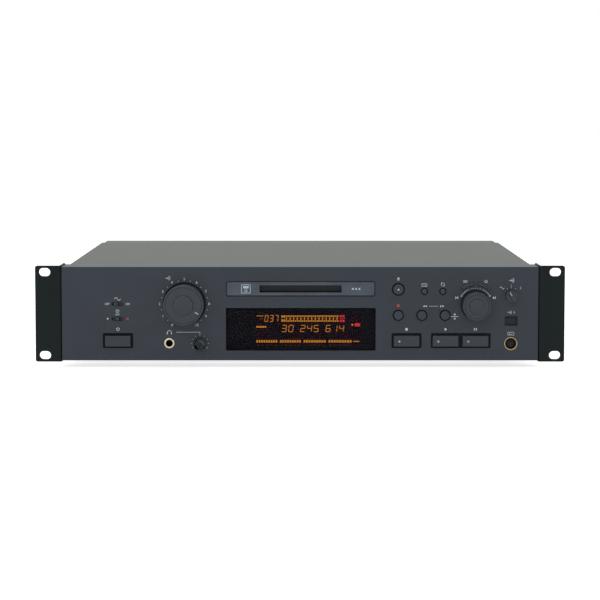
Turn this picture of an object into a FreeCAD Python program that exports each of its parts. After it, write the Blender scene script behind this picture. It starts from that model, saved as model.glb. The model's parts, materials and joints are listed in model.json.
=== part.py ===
import FreeCAD, Part
import math
import os

# A two-unit rack-mount recorder deck that takes a small cartridge disc through a slot.
# Sizes are millimetres. X runs to the right seen from the front, Y to the back, Z up.
# The origin is under the middle of the whole object, on the surface that its feet stand on.
# A depth is measured from the front face of the front panel towards the back.

# Overall sizes
RACK_SPAN = 482.6         # from ear edge to ear edge, the 19-inch standard
RACK_HEIGHT = 88.0        # height of the ears, two rack units
RACK_SLOT_INSET_X = 8.75  # from an ear's outer edge to the middle of its slots
RACK_SLOT_INSET_Z = 5.9   # and from its upper or lower edge
RACK_SLOT_W = 10.4
RACK_SLOT_H = 7.6
EAR_W = 24.0              # how far each ear reaches past the front panel
PANEL_INSET_Z = 1.0       # the front panel is lower than the ears, above and below
BODY_DEPTH = 262.0        # from the panel's face to the outside of the rear panel
FOOT_DROP = 6.0           # how far the feet reach below the ears
INPUT_KNOB_REACH = 14.0   # how far the largest knob stands out
SOCKET_REACH = 8.0        # how far the phono barrels stand out at the back

# Sheet and walls
SHEET = 1.0
EAR_SHEET = 2.0
EAR_BEND = 2.4
EAR_LEG = 22.0
EAR_GAP = 0.1
EAR_CORNER = 2.0
BEZEL_WALL = 3.0
BEZEL_RIM = 2.5
RIM_DEPTH = 21.0
BEZEL_EDGE = 0.7
FIT_GAP = 0.1             # between pieces that sit against each other
OVER = 1.0                # how far a cutting tool reaches past what it cuts
COVER_GAP = 0.2           # between the cover's front edge and the bezel's rim
COVER_SETBACK_X = 2.8     # the cover is narrower than the bezel on each side
COVER_SETBACK_Z = 0.5     # and lower at the top
COVER_BEND = 1.6
REAR_BOX_DEPTH = 33.0     # the narrower rear section that shows behind the cover
REAR_LAP = 7.0            # how far that section runs on under the cover
PAN_WALL_H = 24.0
PAN_LIP_H = 10.0
PAN_RISE = 2.0            # from the ears' lower edge up to the chassis pan

# Boards and the space behind the panel
BOARD_DEPTH = 14.0
BOARD_SHEET = 1.6
BOARD_MARGIN_X = 10.0
BOARD_MARGIN_Z = 7.0
BOARD_POST_R = 2.5
BOARD_POST_EDGE = 3.5
BOARD_POST_BESIDE = 8.0   # the inner posts stand this far beside the display window

# Disc slot, its frame and its door
SLOT_OFF_WINDOW = -0.2    # the slot's middle from the window's middle
SLOT_UP = 22.9
SLOT_W = 74.8
SLOT_H = 6.6
SLOT_LIP = 5.4            # thickness of the lip in front of the door
SLOT_FRAME_INSET = 1.25   # the slot's frame is narrower than the window at each end
SLOT_FRAME_H = 12.2
SLOT_FRAME_R = 1.0
SLOT_FRAME_PROUD = 0.8
SLOT_FRAME_GAP = 0.9
SLOT_FLANGE = 3.0
SLOT_FLANGE_T = 1.2
THROAT_WALL = 1.8
THROAT_ROOF = 2.6         # room above the slot for the open door
THROAT_BACK = 0.6         # from the throat's end to the front board
DOOR_T = 1.2
DOOR_SIDE_GAP = 0.2
DOOR_LIP_GAP = 0.4
CHAMBER_EXTRA = 0.8       # the door's chamber is wider than the slot at each end
DOOR_PIN_R = 0.8
DOOR_PIN_RISE = 1.2
DOOR_PIN_REACH = 1.3
PIN_CLEARANCE = 0.05

# Display
WINDOW_UP = -14.3
WINDOW_TO_PHONES = 23.65  # from the window's left edge to the phones knob's middle
WINDOW_TO_STOP = 28.15    # from its right edge to the stop key's middle
WINDOW_H = 39.3
WINDOW_R = 1.2
WINDOW_RECESS = 0.3
WINDOW_FLANGE = 2.0
WINDOW_FLANGE_T = 1.0
TUBE_MARGIN = 7.35        # from the window's side to the tube's
TUBE_H = 33.0
TUBE_T = 6.0
TUBE_GAP = 1.0
TUBE_LEG_W = 3.0

# Keys: a cap in a hole of the panel, a flange behind it and a stem towards a switch
KEY_GAP = 0.25            # around a cap in its hole
KEY_FLANGE = 1.0
KEY_FLANGE_T = 1.0
KEY_REST_GAP = 0.05
KEY_STEM_R = 1.5
KEY_TRAVEL = 1.0
KEY_EDGE = 0.45
KEY_CORNER = 0.8
KEY_PROUD = 1.8
ROUND_KEY_PROUD = 1.4
POWER_TRAVEL = 2.4
SWITCH_SIDE = 6.0
SWITCH_H = 4.3
SWITCH_TIP_R = 1.6
SWITCH_TIP_H = 0.6
POWER_SWITCH_SIDE = 9.0
POCKET_DEPTH = 1.6
POCKET_R = 1.0
RING_DEPTH = 1.6
KEY_UP = -25.0
POCKET_UP = -24.6
KEY_H = 9.8
POCKET_H = 13.7
POWER_INSET = 51.2        # insets run from the panel's nearer side edge
POWER_KEY_W = 23.2
POWER_POCKET_W = 27.6
STOP_INSET = 120.1
STOP_KEY_W = 23.4
STOP_POCKET_W = 27.4
PLAY_INSET = 84.6
READY_INSET = 57.3
PLAY_KEY_W = 23.5
PLAY_POCKET_INSET = 70.6
PLAY_POCKET_W = 54.4

# Round keys
EJECT_INSET = 127.7
EJECT_UP = 22.4
EJECT_R = 4.7
EJECT_RING_R = 5.95
MODE_UP = 20.5
DISPLAY_INSET = 104.0
PLAY_MODE_INSET = 87.2
MODE_KEY_R = 2.4
MODE_RING_R = 3.3
RECORD_UP = -1.4
SEARCH_BACK_INSET = 106.2
SEARCH_FORWARD_INSET = 85.0
RECORD_R = 4.05
RECORD_RING_R = 5.15
RECORD_PROUD = 1.8

# Arc keys over the track knob
ARC_IN_R = 18.0
ARC_OUT_R = 20.6
ARC_FROM = 6.0
ARC_TO = 41.0
ARC_PROUD = 1.2

# Rotary controls
SHAFT_R = 3.0
RUN_CLEARANCE = 0.05
BUSH_R = 4.6
BUSH_GAP = 0.2
BUSH_FRONT = 0.4
POT_FRONT = 5.0
POT_FLOOR = 1.4
KNOB_FOOT_GAP = 0.8       # between a knob's skirt and the panel
KNOB_SHELL = 1.6
KNOB_EDGE = 0.9
INPUT_INSET = 111.9
INPUT_UP = 9.15
INPUT_KNOB_R = 18.3
INPUT_RING_R = 19.6
INPUT_HUB_R = 8.8
INPUT_HUB_RISE = 2.0
INPUT_POT_SIDE = 24.0
JOG_INSET = 57.3
JOG_UP = 8.1
JOG_REACH = 13.2
JOG_KNOB_R = 12.7
JOG_RING_R = 13.5
JOG_HUB_R = 6.8
JOG_HUB_RISE = 1.6
JOG_TRAVEL = 0.6
JOG_POT_SIDE = 16.0
JOG_ROTOR_R = 4.9
JOG_ROTOR_FRONT = 6.2
JOG_ROTOR_T = 5.0
ROTOR_GAP = 0.2
PHONES_INSET = 126.0
PHONES_UP = -27.3
PHONES_KNOB_R = 5.55
PHONES_REACH = 7.0
PHONES_STEM_R = 2.0
PHONES_POT_SIDE = 11.0
SELECTOR_INSET = 24.8
SELECTOR_UP = 16.5
SELECTOR_R = 5.3
SELECTOR_REACH = 8.5
SELECTOR_GRIP_W = 3.0
SELECTOR_GRIP_RISE = 3.4
SELECTOR_REST = -30.0     # the pointer's angle at rest, clockwise from straight up
SELECTOR_POT_SIDE = 13.0

# Slide switches
SLIDER_INSET = 50.9
PITCH_UP = 9.0
TIMER_UP = -4.6
SLIDER_SLOT_W = 10.9
SLIDER_SLOT_H = 3.8
SLIDER_NUB_W = 3.2
SLIDER_NUB_H = 2.8
SLIDER_PROUD = 1.3
SLIDER_PLATE_W = 14.0
SLIDER_PLATE_H = 5.6
SLIDER_TRAVEL = 2.5       # each way from the middle
SLIDER_SWITCH_W = 17.0
SLIDER_SWITCH_H = 7.0

# Sockets in the panel
JACK_INSET = 98.1
JACK_RISE = 16.1          # over the panel's lower edge
JACK_BORE_R = 3.2
JACK_BUSH_R = 3.9
JACK_NUT_R = 4.65
JACK_NUT_T = 1.0
JACK_BORE_LENGTH = 14.0
JACK_BODY_W = 12.0
JACK_BODY_H = 11.0
JACK_BODY_END = 2.5       # the jack reaches this far past the board
OPTICAL_INSET = 24.8
OPTICAL_UP = -6.6
OPTICAL_W = 11.9
OPTICAL_H = 8.9
OPTICAL_WALL = 1.0
OPTICAL_RECESS = 0.3
OPTICAL_CAVITY = 10.0
SHUTTER_T = 0.8
SHUTTER_SETBACK = 0.9
SHUTTER_SIDE_GAP = 0.15
SHUTTER_PIN_R = 0.4
SHUTTER_PIN_REACH = 0.6
DIN_INSET = 25.0
DIN_UP = -27.3
DIN_RING_R = 6.0
DIN_SHELL_R = 4.3
DIN_CORE_R = 3.3
DIN_PROUD = 0.5
DIN_DEPTH = 6.0
DIN_BODY = 13.0
DIN_PIN_R = 0.45
DIN_PIN_RING = 2.1
DIN_PINS = 6

# Mechanism behind the slot
BAY_FRONT = 18.0          # depth of the cartridge bay's mouth
BAY_W = 72.6
BAY_H = 5.6
BAY_LENGTH = 68.6
HOLDER_SHEET = 0.8
HOLDER_LIP = 7.0
HOLDER_DROP = 4.2
HOLDER_PIN_R = 1.5
HOLDER_PIN_FRONT = 14.0
HOLDER_PIN_BACK = 54.0
HOLDER_WINDOW_W = 22.0
HOLDER_WINDOW_FROM = 38.0
SPINDLE_DEPTH = 53.0
TURNTABLE_R = 8.5
TURNTABLE_T = 1.8
SPIGOT_R = 2.6
SPIGOT_H = 1.4
SPINDLE_R = 1.0
DISC_GAP = 0.2            # cartridge floor over the turntable when the holder is down
MOTOR_R = 11.0
MOTOR_GAP = 1.2           # from the motor's top to the turntable
DECK_SHEET = 1.2
DECK_W = 96.0
DECK_FRONT = 23.0
DECK_PAST_MOTOR = 0.9     # how far the deck runs on behind the sled's motor
DECK_DROP = 18.0          # from the holder's underside down to the deck plate
LEG_W = 10.0
GUIDE_T = 1.2
GUIDE_GAP = 1.2
GUIDE_FRONT = 26.0
GUIDE_BACK = 80.0
GUIDE_SLOT_GAP = 0.3
RAIL_R = 1.5
RAIL_HALF_SPACE = 17.0
RAIL_RISE = 7.0           # rails over the deck plate
RAIL_FRONT = 66.0
RAIL_BACK = 128.0
RAIL_POST = 4.0
SLED_FRONT = 71.0
SLED_LENGTH = 32.0
SLED_W = 40.0
SLED_T = 6.0
LENS_R = 2.4
LENS_H = 1.2
ARM_W = 10.0
ARM_T = 1.2
ARM_OVER = 3.2            # head arm over the holder's roof
ARM_REACH = 28.0
ARM_SETBACK = 4.0
SCREW_X = 27.0            # lead screw beside the spindle's line
SCREW_R = 1.5
SCREW_NUT_GAP = 0.1
SCREW_NUT_W = 7.0
SLED_MOTOR_R = 6.0
SLED_MOTOR_L = 13.0

# Electrics on the chassis pan
STUD_R = 3.0
STUD_H = 8.0
STUD_INSET = 6.0
MAIN_X0 = -30.0
MAIN_TO_WALL = 17.3
MAIN_TO_DECK = 8.0
MAIN_TO_REAR = 24.0
CHIP_W = 20.0
CHIP_T = 2.4
CHIP_PITCH = 44.0
CAPACITOR_R = 6.0
CAPACITOR_H = 22.0
CAPACITOR_PITCH = 15.0
CAPACITORS = 4
CORE_INSET = 63.4         # from the pan's left wall to the transformer's middle
CORE_DEPTH = 120.0
CORE_W = 62.0
CORE_L = 40.0
CORE_H = 50.0
COIL_OVER = 9.0
COIL_DROP = 8.0
CORE_FOOT_T = 2.0
CORE_FOOT_OVER = 8.0

# Rear panel fittings
INLET_INSET = 34.3        # from the rear panel's edge
INLET_RISE = 21.0         # over the pan's floor
INLET_FACE_W = 31.0
INLET_FACE_H = 23.6
INLET_FACE_T = 2.0
INLET_W = 27.4
INLET_H = 20.0
INLET_BODY_L = 20.0
INLET_CAVITY_W = 24.8
INLET_CAVITY_H = 16.4
INLET_CAVITY_L = 16.5
INLET_CHAMFER = 4.2
BLADE_T = 2.0
BLADE_H = 4.0
BLADE_L = 12.0
BLADE_SPREAD = 7.0
BLADE_DROP = 2.0
PHONO_R = 4.15
PHONO_BORE_R = 1.7
PHONO_BASE = 12.0
PHONO_BASE_L = 14.0
PHONO_FIRST_X = 70.0
PHONO_PITCH_X = 22.0
PHONO_PITCH_Z = 18.0
PHONO_COLUMNS = 3
PHONO_UP = 8.0
VENT_W = 2.5
VENT_H = 26.0
VENT_PITCH = 7.0
VENTS = 11
VENT_FIRST_X = -120.0
VENT_UP = 16.0

# Feet and screws
FOOT_R = 11.0
FOOT_TAPER = 1.5
FOOT_EDGE_X = 34.0
FOOT_FRONT = 54.0
FOOT_TO_REAR = 48.0
FOOT_WELL_R = 4.0
FOOT_WELL = 3.6
SCREW_SHANK_R = 1.5
SCREW_HOLE_R = 1.7
SCREW_HEAD_R = 2.9
SCREW_HEAD_H = 1.9
SCREW_GRIP = 2.5          # what a screw reaches past the last sheet
COVER_SCREW_UP = 12.0     # over the pan's floor
COVER_SCREW_FRONT = 58.0
COVER_SCREW_TO_BACK = 33.0
REAR_SCREW_TO_INLET = 38.0
REAR_SCREW_UP = 6.5
EAR_SCREW_R = 2.0
EAR_SCREW_HOLE_R = 2.2
EAR_SCREW_HEAD_R = 3.8
EAR_SCREW_HEAD_H = 2.4
EAR_SCREW_DEPTH = 12.0
EAR_SCREW_SPREAD = 26.0   # above and below the panel's middle
BOSS_R = 4.5

# Places that follow from the sizes above
TOTAL_DEPTH = INPUT_KNOB_REACH + BODY_DEPTH + SOCKET_REACH
FRONT_Y = INPUT_KNOB_REACH - TOTAL_DEPTH / 2
MID_Z = FOOT_DROP + RACK_HEIGHT / 2
RACK_PITCH_X = RACK_SPAN - 2 * RACK_SLOT_INSET_X
RACK_PITCH_Z = RACK_HEIGHT - 2 * RACK_SLOT_INSET_Z
BEZEL_H = RACK_HEIGHT - 2 * PANEL_INSET_Z
BEZEL_HALF = RACK_SPAN / 2 - EAR_W
BEZEL_Z0 = MID_Z - BEZEL_H / 2
BEZEL_Z1 = MID_Z + BEZEL_H / 2
COVER_HALF = BEZEL_HALF - COVER_SETBACK_X
COVER_TOP = BEZEL_Z1 - COVER_SETBACK_Z
COVER_FRONT = RIM_DEPTH + COVER_GAP
COVER_BACK = BODY_DEPTH - REAR_BOX_DEPTH
PAN_Z = FOOT_DROP + PAN_RISE
PAN_FLOOR = PAN_Z + SHEET
PAN_HALF = COVER_HALF - SHEET - FIT_GAP
REAR_HALF = PAN_HALF - SHEET - FIT_GAP
REAR_FRONT = COVER_BACK - REAR_LAP
REAR_TOP = COVER_TOP - SHEET - FIT_GAP
BOARD_BACK = BOARD_DEPTH + BOARD_SHEET
SWITCH_FRONT = BOARD_DEPTH - SWITCH_H - SWITCH_TIP_H
LEFT = -BEZEL_HALF
RIGHT = BEZEL_HALF
WINDOW_LEFT = LEFT + PHONES_INSET + WINDOW_TO_PHONES
WINDOW_RIGHT = RIGHT - STOP_INSET - WINDOW_TO_STOP
WINDOW_W = WINDOW_RIGHT - WINDOW_LEFT
WINDOW_X = (WINDOW_LEFT + WINDOW_RIGHT) / 2
TUBE_W = WINDOW_W - 2 * TUBE_MARGIN
SLOT_FRAME_W = WINDOW_W - 2 * SLOT_FRAME_INSET
DECK_BACK = RAIL_BACK + FIT_GAP + SLED_MOTOR_L + DECK_PAST_MOTOR
MAIN_X1 = REAR_HALF - MAIN_TO_WALL
MAIN_FRONT = DECK_BACK + MAIN_TO_DECK
MAIN_BACK = BODY_DEPTH - MAIN_TO_REAR
CORE_X = CORE_INSET - PAN_HALF
INLET_X = INLET_INSET - REAR_HALF
FOOT_BACK = BODY_DEPTH - FOOT_TO_REAR
COVER_SCREW_BACK = COVER_BACK - COVER_SCREW_TO_BACK
REAR_SCREW_X = INLET_X + REAR_SCREW_TO_INLET


def on_panel(x, up):
    """A point of the panel: x from its middle, up from its middle line."""
    return (x, MID_Z + up)


POWER_AT = on_panel(LEFT + POWER_INSET, KEY_UP)
STOP_AT = on_panel(RIGHT - STOP_INSET, KEY_UP)
PLAY_AT = on_panel(RIGHT - PLAY_INSET, KEY_UP)
READY_AT = on_panel(RIGHT - READY_INSET, KEY_UP)
EJECT_AT = on_panel(RIGHT - EJECT_INSET, EJECT_UP)
DISPLAY_AT = on_panel(RIGHT - DISPLAY_INSET, MODE_UP)
PLAY_MODE_AT = on_panel(RIGHT - PLAY_MODE_INSET, MODE_UP)
RECORD_AT = on_panel(RIGHT - EJECT_INSET, RECORD_UP)
SEARCH_BACK_AT = on_panel(RIGHT - SEARCH_BACK_INSET, RECORD_UP)
SEARCH_FORWARD_AT = on_panel(RIGHT - SEARCH_FORWARD_INSET, RECORD_UP)
INPUT_AT = on_panel(LEFT + INPUT_INSET, INPUT_UP)
PHONES_AT = on_panel(LEFT + PHONES_INSET, PHONES_UP)
JACK_AT = (LEFT + JACK_INSET, BEZEL_Z0 + JACK_RISE)
PITCH_AT = on_panel(LEFT + SLIDER_INSET, PITCH_UP)
TIMER_AT = on_panel(LEFT + SLIDER_INSET, TIMER_UP)
JOG_AT = on_panel(RIGHT - JOG_INSET, JOG_UP)
SELECTOR_AT = on_panel(RIGHT - SELECTOR_INSET, SELECTOR_UP)
OPTICAL_AT = on_panel(RIGHT - OPTICAL_INSET, OPTICAL_UP)
DIN_AT = on_panel(RIGHT - DIN_INSET, DIN_UP)
SLOT_AT = on_panel(WINDOW_X + SLOT_OFF_WINDOW, SLOT_UP)
WINDOW_AT = on_panel(WINDOW_X, WINDOW_UP)
INLET_AT = (INLET_X, PAN_FLOOR + INLET_RISE)

SLOT_Z0 = SLOT_AT[1] - SLOT_H / 2
SLOT_Z1 = SLOT_AT[1] + SLOT_H / 2
DOOR_PIN_Z = SLOT_Z1 + DOOR_PIN_RISE
DOOR_FRONT = SLOT_LIP - SLOT_FRAME_PROUD + DOOR_LIP_GAP
DOOR_PIN_DEPTH = DOOR_FRONT + DOOR_T / 2
CHAMBER_HALF = SLOT_W / 2 + CHAMBER_EXTRA
BAY_Z0 = SLOT_AT[1] - BAY_H / 2
BAY_Z1 = SLOT_AT[1] + BAY_H / 2
HOLDER_BOTTOM = BAY_Z0 - HOLDER_SHEET
HOLDER_TOP = BAY_Z1 + HOLDER_SHEET
HOLDER_HALF = BAY_W / 2 + HOLDER_SHEET
TURNTABLE_TOP = BAY_Z0 - HOLDER_DROP - DISC_GAP
DECK_TOP = HOLDER_BOTTOM - DECK_DROP
DECK_BASE = DECK_TOP - DECK_SHEET
RAIL_Z = DECK_TOP + RAIL_RISE
MOTOR_TOP = TURNTABLE_TOP - TURNTABLE_T - MOTOR_GAP
GUIDE_IN = HOLDER_HALF + GUIDE_GAP


def vec(x, y, z):
    return FreeCAD.Vector(x, y, z)


def block(x0, x1, d0, d1, z0, z1):
    """A box between two depths, with its sides and its top and bottom given."""
    return Part.makeBox(x1 - x0, d1 - d0, z1 - z0, vec(x0, FRONT_Y + d0, z0))


def pad(at, size, d0, d1):
    """A box of a width and height about a point of the panel."""
    x, z = at
    width, height = size
    return block(x - width / 2, x + width / 2, d0, d1, z - height / 2, z + height / 2)


def rod(at, radius, d0, d1):
    """A round bar along Y."""
    return Part.makeCylinder(radius, d1 - d0, vec(at[0], FRONT_Y + d0, at[1]), vec(0, 1, 0))


def post(x, depth, radius, z0, z1):
    """A round upright bar."""
    return Part.makeCylinder(radius, z1 - z0, vec(x, FRONT_Y + depth, z0))


def bar(x0, x1, depth, z, radius):
    """A round bar along X."""
    return Part.makeCylinder(radius, x1 - x0, vec(x0, FRONT_Y + depth, z), vec(1, 0, 0))


def runs_along(edge, axis):
    """Whether a straight edge runs along the axis of that number."""
    if len(edge.Vertexes) != 2 or not isinstance(edge.Curve, (Part.Line, Part.LineSegment)):
        return False
    step = edge.Vertexes[1].Point - edge.Vertexes[0].Point
    return abs(abs(step[axis]) - step.Length) < 1e-6


def lies_at_front(edge, depth):
    """Whether a whole edge lies at one depth."""
    box = edge.BoundBox
    return abs(box.YMin - FRONT_Y - depth) < 1e-5 and abs(box.YMax - FRONT_Y - depth) < 1e-5


def rounded(at, size, radius, d0, d1):
    """A pad whose four corners are rounded."""
    shape = pad(at, size, d0, d1)
    limit = min(radius, min(size) * 0.45)
    return shape.makeFillet(limit, [edge for edge in shape.Edges if runs_along(edge, 1)])


def eased(shape, radius, depth):
    """The same piece with the edges of its face at one depth rounded."""
    return shape.makeFillet(radius, [edge for edge in shape.Edges if lies_at_front(edge, depth)])


def obround(at, size, d0, d1):
    """A slot with round ends, long in X."""
    x, z = at
    width, height = size
    half = (width - height) / 2
    shape = pad(at, (width - height, height), d0, d1)
    for side in (-1, 1):
        shape = shape.fuse(rod((x + side * half, z), height / 2, d0, d1))
    return shape.removeSplitter()


def fused(shapes):
    """One solid from pieces that touch or cross."""
    return shapes[0].multiFuse(shapes[1:]).removeSplitter()


def cut_by(shape, tools):
    """A solid less all the tools."""
    return shape.cut(Part.makeCompound(tools))


def arc_band(at, r_in, r_out, angle0, angle1, d0, d1):
    """A band of a ring. Angles run clockwise from straight up, seen from the front."""
    def point(radius, angle):
        turn = math.radians(angle)
        return vec(at[0] + radius * math.sin(turn), FRONT_Y + d0, at[1] + radius * math.cos(turn))

    middle = (angle0 + angle1) / 2
    outer = Part.Arc(point(r_out, angle0), point(r_out, middle), point(r_out, angle1))
    inner = Part.Arc(point(r_in, angle1), point(r_in, middle), point(r_in, angle0))
    sides = [Part.LineSegment(point(r_out, angle1), point(r_in, angle1)),
             Part.LineSegment(point(r_in, angle0), point(r_out, angle0))]
    wire = Part.Wire([outer.toShape(), sides[0].toShape(), inner.toShape(), sides[1].toShape()])
    return Part.Face(wire).extrude(vec(0, d1 - d0, 0))


def spun(at, profile):
    """A solid turned about a line along Y from (radius, depth) points."""
    points = [vec(at[0] + radius, FRONT_Y + depth, at[1]) for radius, depth in profile]
    face = Part.Face(Part.makePolygon(points + points[:1]))
    return face.revolve(vec(at[0], FRONT_Y, at[1]), vec(0, 1, 0), 360)


# Lists of keys, so that the panel, the keys and the switches follow the same values
def rect_keys():
    """Each rectangular key: its place, its cap's size and its travel."""
    return {
        "power_button": (POWER_AT, (POWER_KEY_W, KEY_H), POWER_TRAVEL),
        "stop_button": (STOP_AT, (STOP_KEY_W, KEY_H), KEY_TRAVEL),
        "play_button": (PLAY_AT, (PLAY_KEY_W, KEY_H), KEY_TRAVEL),
        "ready_button": (READY_AT, (PLAY_KEY_W, KEY_H), KEY_TRAVEL),
    }


def pockets():
    """The shallow pockets round the rectangular keys: place and size."""
    return [
        (on_panel(LEFT + POWER_INSET, POCKET_UP), (POWER_POCKET_W, POCKET_H)),
        (on_panel(RIGHT - STOP_INSET, POCKET_UP), (STOP_POCKET_W, POCKET_H)),
        (on_panel(RIGHT - PLAY_POCKET_INSET, POCKET_UP), (PLAY_POCKET_W, POCKET_H)),
    ]


def round_keys():
    """Each round key: its place, cap radius, recess radius and how far it stands out."""
    return {
        "eject_button": (EJECT_AT, EJECT_R, EJECT_RING_R, ROUND_KEY_PROUD),
        "display_button": (DISPLAY_AT, MODE_KEY_R, MODE_RING_R, ROUND_KEY_PROUD),
        "play_mode_button": (PLAY_MODE_AT, MODE_KEY_R, MODE_RING_R, ROUND_KEY_PROUD),
        "record_button": (RECORD_AT, RECORD_R, RECORD_RING_R, RECORD_PROUD),
        "search_back_button": (SEARCH_BACK_AT, RECORD_R, RECORD_RING_R, RECORD_PROUD),
        "search_forward_button": (SEARCH_FORWARD_AT, RECORD_R, RECORD_RING_R, RECORD_PROUD),
    }


def arc_keys():
    """Each curved key: the angles between which it lies over the track knob."""
    return {"edit_button": (-ARC_TO, -ARC_FROM), "yes_button": (ARC_FROM, ARC_TO)}


def arc_middle(angles):
    """The panel point in the middle of a curved key."""
    turn = math.radians(sum(angles) / 2)
    radius = (ARC_IN_R + ARC_OUT_R) / 2
    return (JOG_AT[0] + radius * math.sin(turn), JOG_AT[1] + radius * math.cos(turn))


def board_posts():
    """Places of the posts that hold the front board off the panel."""
    outer = BEZEL_HALF - BOARD_MARGIN_X - BOARD_POST_EDGE
    inner = WINDOW_W / 2 + BOARD_POST_BESIDE
    low = BEZEL_Z0 + BOARD_MARGIN_Z + BOARD_POST_EDGE
    high = BEZEL_Z1 - BOARD_MARGIN_Z - BOARD_POST_EDGE
    return [(x, z) for x in (-outer, -inner, inner, outer) for z in (low, high)]


def panel_cuts():
    """Everything that is cut out of the panel's front wall."""
    through = BEZEL_WALL + OVER
    window = (WINDOW_W, WINDOW_H)
    frame = (SLOT_FRAME_W + 2 * SLOT_FRAME_GAP, SLOT_FRAME_H + 2 * SLOT_FRAME_GAP)
    cuts = [rounded(WINDOW_AT, window, WINDOW_R, -OVER, through),
            rounded(SLOT_AT, frame, SLOT_FRAME_R + SLOT_FRAME_GAP, -OVER, through)]
    for at, size in pockets():
        cuts.append(rounded(at, size, POCKET_R, -OVER, POCKET_DEPTH))
    for at, size, travel in rect_keys().values():
        hole = (size[0] + 2 * KEY_GAP, size[1] + 2 * KEY_GAP)
        cuts.append(rounded(at, hole, KEY_CORNER + KEY_GAP, -OVER, through))
    for at, radius, ring, proud in round_keys().values():
        cuts.append(rod(at, radius + KEY_GAP, -OVER, through))
        cuts.append(rod(at, ring, -OVER, RING_DEPTH))
    for angles in arc_keys().values():
        spread = math.degrees(KEY_GAP / ARC_IN_R)
        cuts.append(arc_band(JOG_AT, ARC_IN_R - KEY_GAP, ARC_OUT_R + KEY_GAP,
                             angles[0] - spread, angles[1] + spread, -OVER, through))
    for at, ring in ((INPUT_AT, INPUT_RING_R), (JOG_AT, JOG_RING_R)):
        cuts.append(rod(at, ring, -OVER, RING_DEPTH))
        cuts.append(rod(at, BUSH_R + BUSH_GAP, -OVER, through))
    for at in (PHONES_AT, SELECTOR_AT):
        cuts.append(rod(at, PHONES_STEM_R + BUSH_GAP, -OVER, through))
    for at in (PITCH_AT, TIMER_AT):
        cuts.append(obround(at, (SLIDER_SLOT_W, SLIDER_SLOT_H), -OVER, through))
    cuts.append(rod(JACK_AT, JACK_BUSH_R + FIT_GAP, -OVER, through))
    cuts.append(pad(OPTICAL_AT, (OPTICAL_W, OPTICAL_H), -OVER, through))
    cuts.append(rod(DIN_AT, DIN_RING_R + FIT_GAP, -OVER, through))
    return cuts


def ear_screw_heights():
    return (MID_Z - EAR_SCREW_SPREAD, MID_Z + EAR_SCREW_SPREAD)


def front_bezel():
    """The moulded front panel: a wall with a rim, posts for the board and bosses for the ears."""
    shell = block(LEFT, RIGHT, 0, RIM_DEPTH, BEZEL_Z0, BEZEL_Z1)
    shell = eased(shell, BEZEL_EDGE, 0)
    inner = block(LEFT + BEZEL_RIM, RIGHT - BEZEL_RIM, BEZEL_WALL, RIM_DEPTH + OVER,
                  BEZEL_Z0 + BEZEL_RIM, BEZEL_Z1 - BEZEL_RIM)
    shell = shell.cut(inner)
    added = [rod(at, BOARD_POST_R, BEZEL_WALL, BOARD_DEPTH) for at in board_posts()]
    holes = []
    for side in (-1, 1):
        for z in ear_screw_heights():
            ends = sorted((side * PAN_HALF, side * (BEZEL_HALF - BEZEL_RIM)))
            added.append(bar(ends[0], ends[1], EAR_SCREW_DEPTH, z, BOSS_R))
            outer = sorted((side * (PAN_HALF - OVER), side * (BEZEL_HALF + OVER)))
            holes.append(bar(outer[0], outer[1], EAR_SCREW_DEPTH, z, EAR_SCREW_HOLE_R))
    shell = fused([shell] + added)
    return cut_by(shell, panel_cuts() + holes)


def rack_ear(side):
    """A folded steel angle: a flange with two slots and a leg along the panel's side."""
    inner = BEZEL_HALF + EAR_GAP
    z0 = MID_Z - RACK_HEIGHT / 2
    z1 = MID_Z + RACK_HEIGHT / 2
    flange = block(inner, RACK_SPAN / 2, 0, EAR_SHEET, z0, z1)
    corners = []
    for edge in flange.Edges:
        if runs_along(edge, 1) and edge.BoundBox.XMin > inner + EAR_SHEET:
            corners.append(edge)
    flange = flange.makeFillet(EAR_CORNER, corners)
    leg = block(inner, inner + EAR_SHEET, 0, EAR_LEG, z0, z1)
    ear = fused([flange, leg])
    bend = []
    for edge in ear.Edges:
        if runs_along(edge, 2) and lies_at_front(edge, 0) and edge.BoundBox.XMax < inner + 1e-4:
            bend.append(edge)
    ear = ear.makeFillet(EAR_BEND, bend)
    cuts = []
    for up in (-1, 1):
        at = on_panel(RACK_PITCH_X / 2, up * RACK_PITCH_Z / 2)
        cuts.append(obround(at, (RACK_SLOT_W, RACK_SLOT_H), -OVER, EAR_SHEET + OVER))
    for z in ear_screw_heights():
        cuts.append(bar(inner - OVER, inner + EAR_SHEET + OVER, EAR_SCREW_DEPTH, z, EAR_SCREW_HOLE_R))
    ear = cut_by(ear, cuts)
    if side < 0:
        ear = ear.mirror(vec(0, 0, 0), vec(1, 0, 0))
    return ear


def cover_screw_places():
    """Depth and height of the screws in the cover's sides."""
    z = PAN_FLOOR + COVER_SCREW_UP
    return [(COVER_SCREW_FRONT, z), (COVER_SCREW_BACK, z)]


def rear_screw_places():
    """Panel points of the screws in the rear panel."""
    z = PAN_FLOOR + REAR_SCREW_UP
    return [(x, z) for x in (REAR_SCREW_X, 0, -REAR_SCREW_X)]


def foot_places():
    x = PAN_HALF - FOOT_EDGE_X
    return [(side * x, depth) for side in (-1, 1) for depth in (FOOT_FRONT, FOOT_BACK)]


def stud_places():
    """Where the pressed studs of the pan carry the main board."""
    columns = (MAIN_X0 + STUD_INSET, MAIN_X1 - STUD_INSET)
    rows = (MAIN_FRONT + STUD_INSET, MAIN_BACK - STUD_INSET)
    return [(x, depth) for x in columns for depth in rows]


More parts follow.
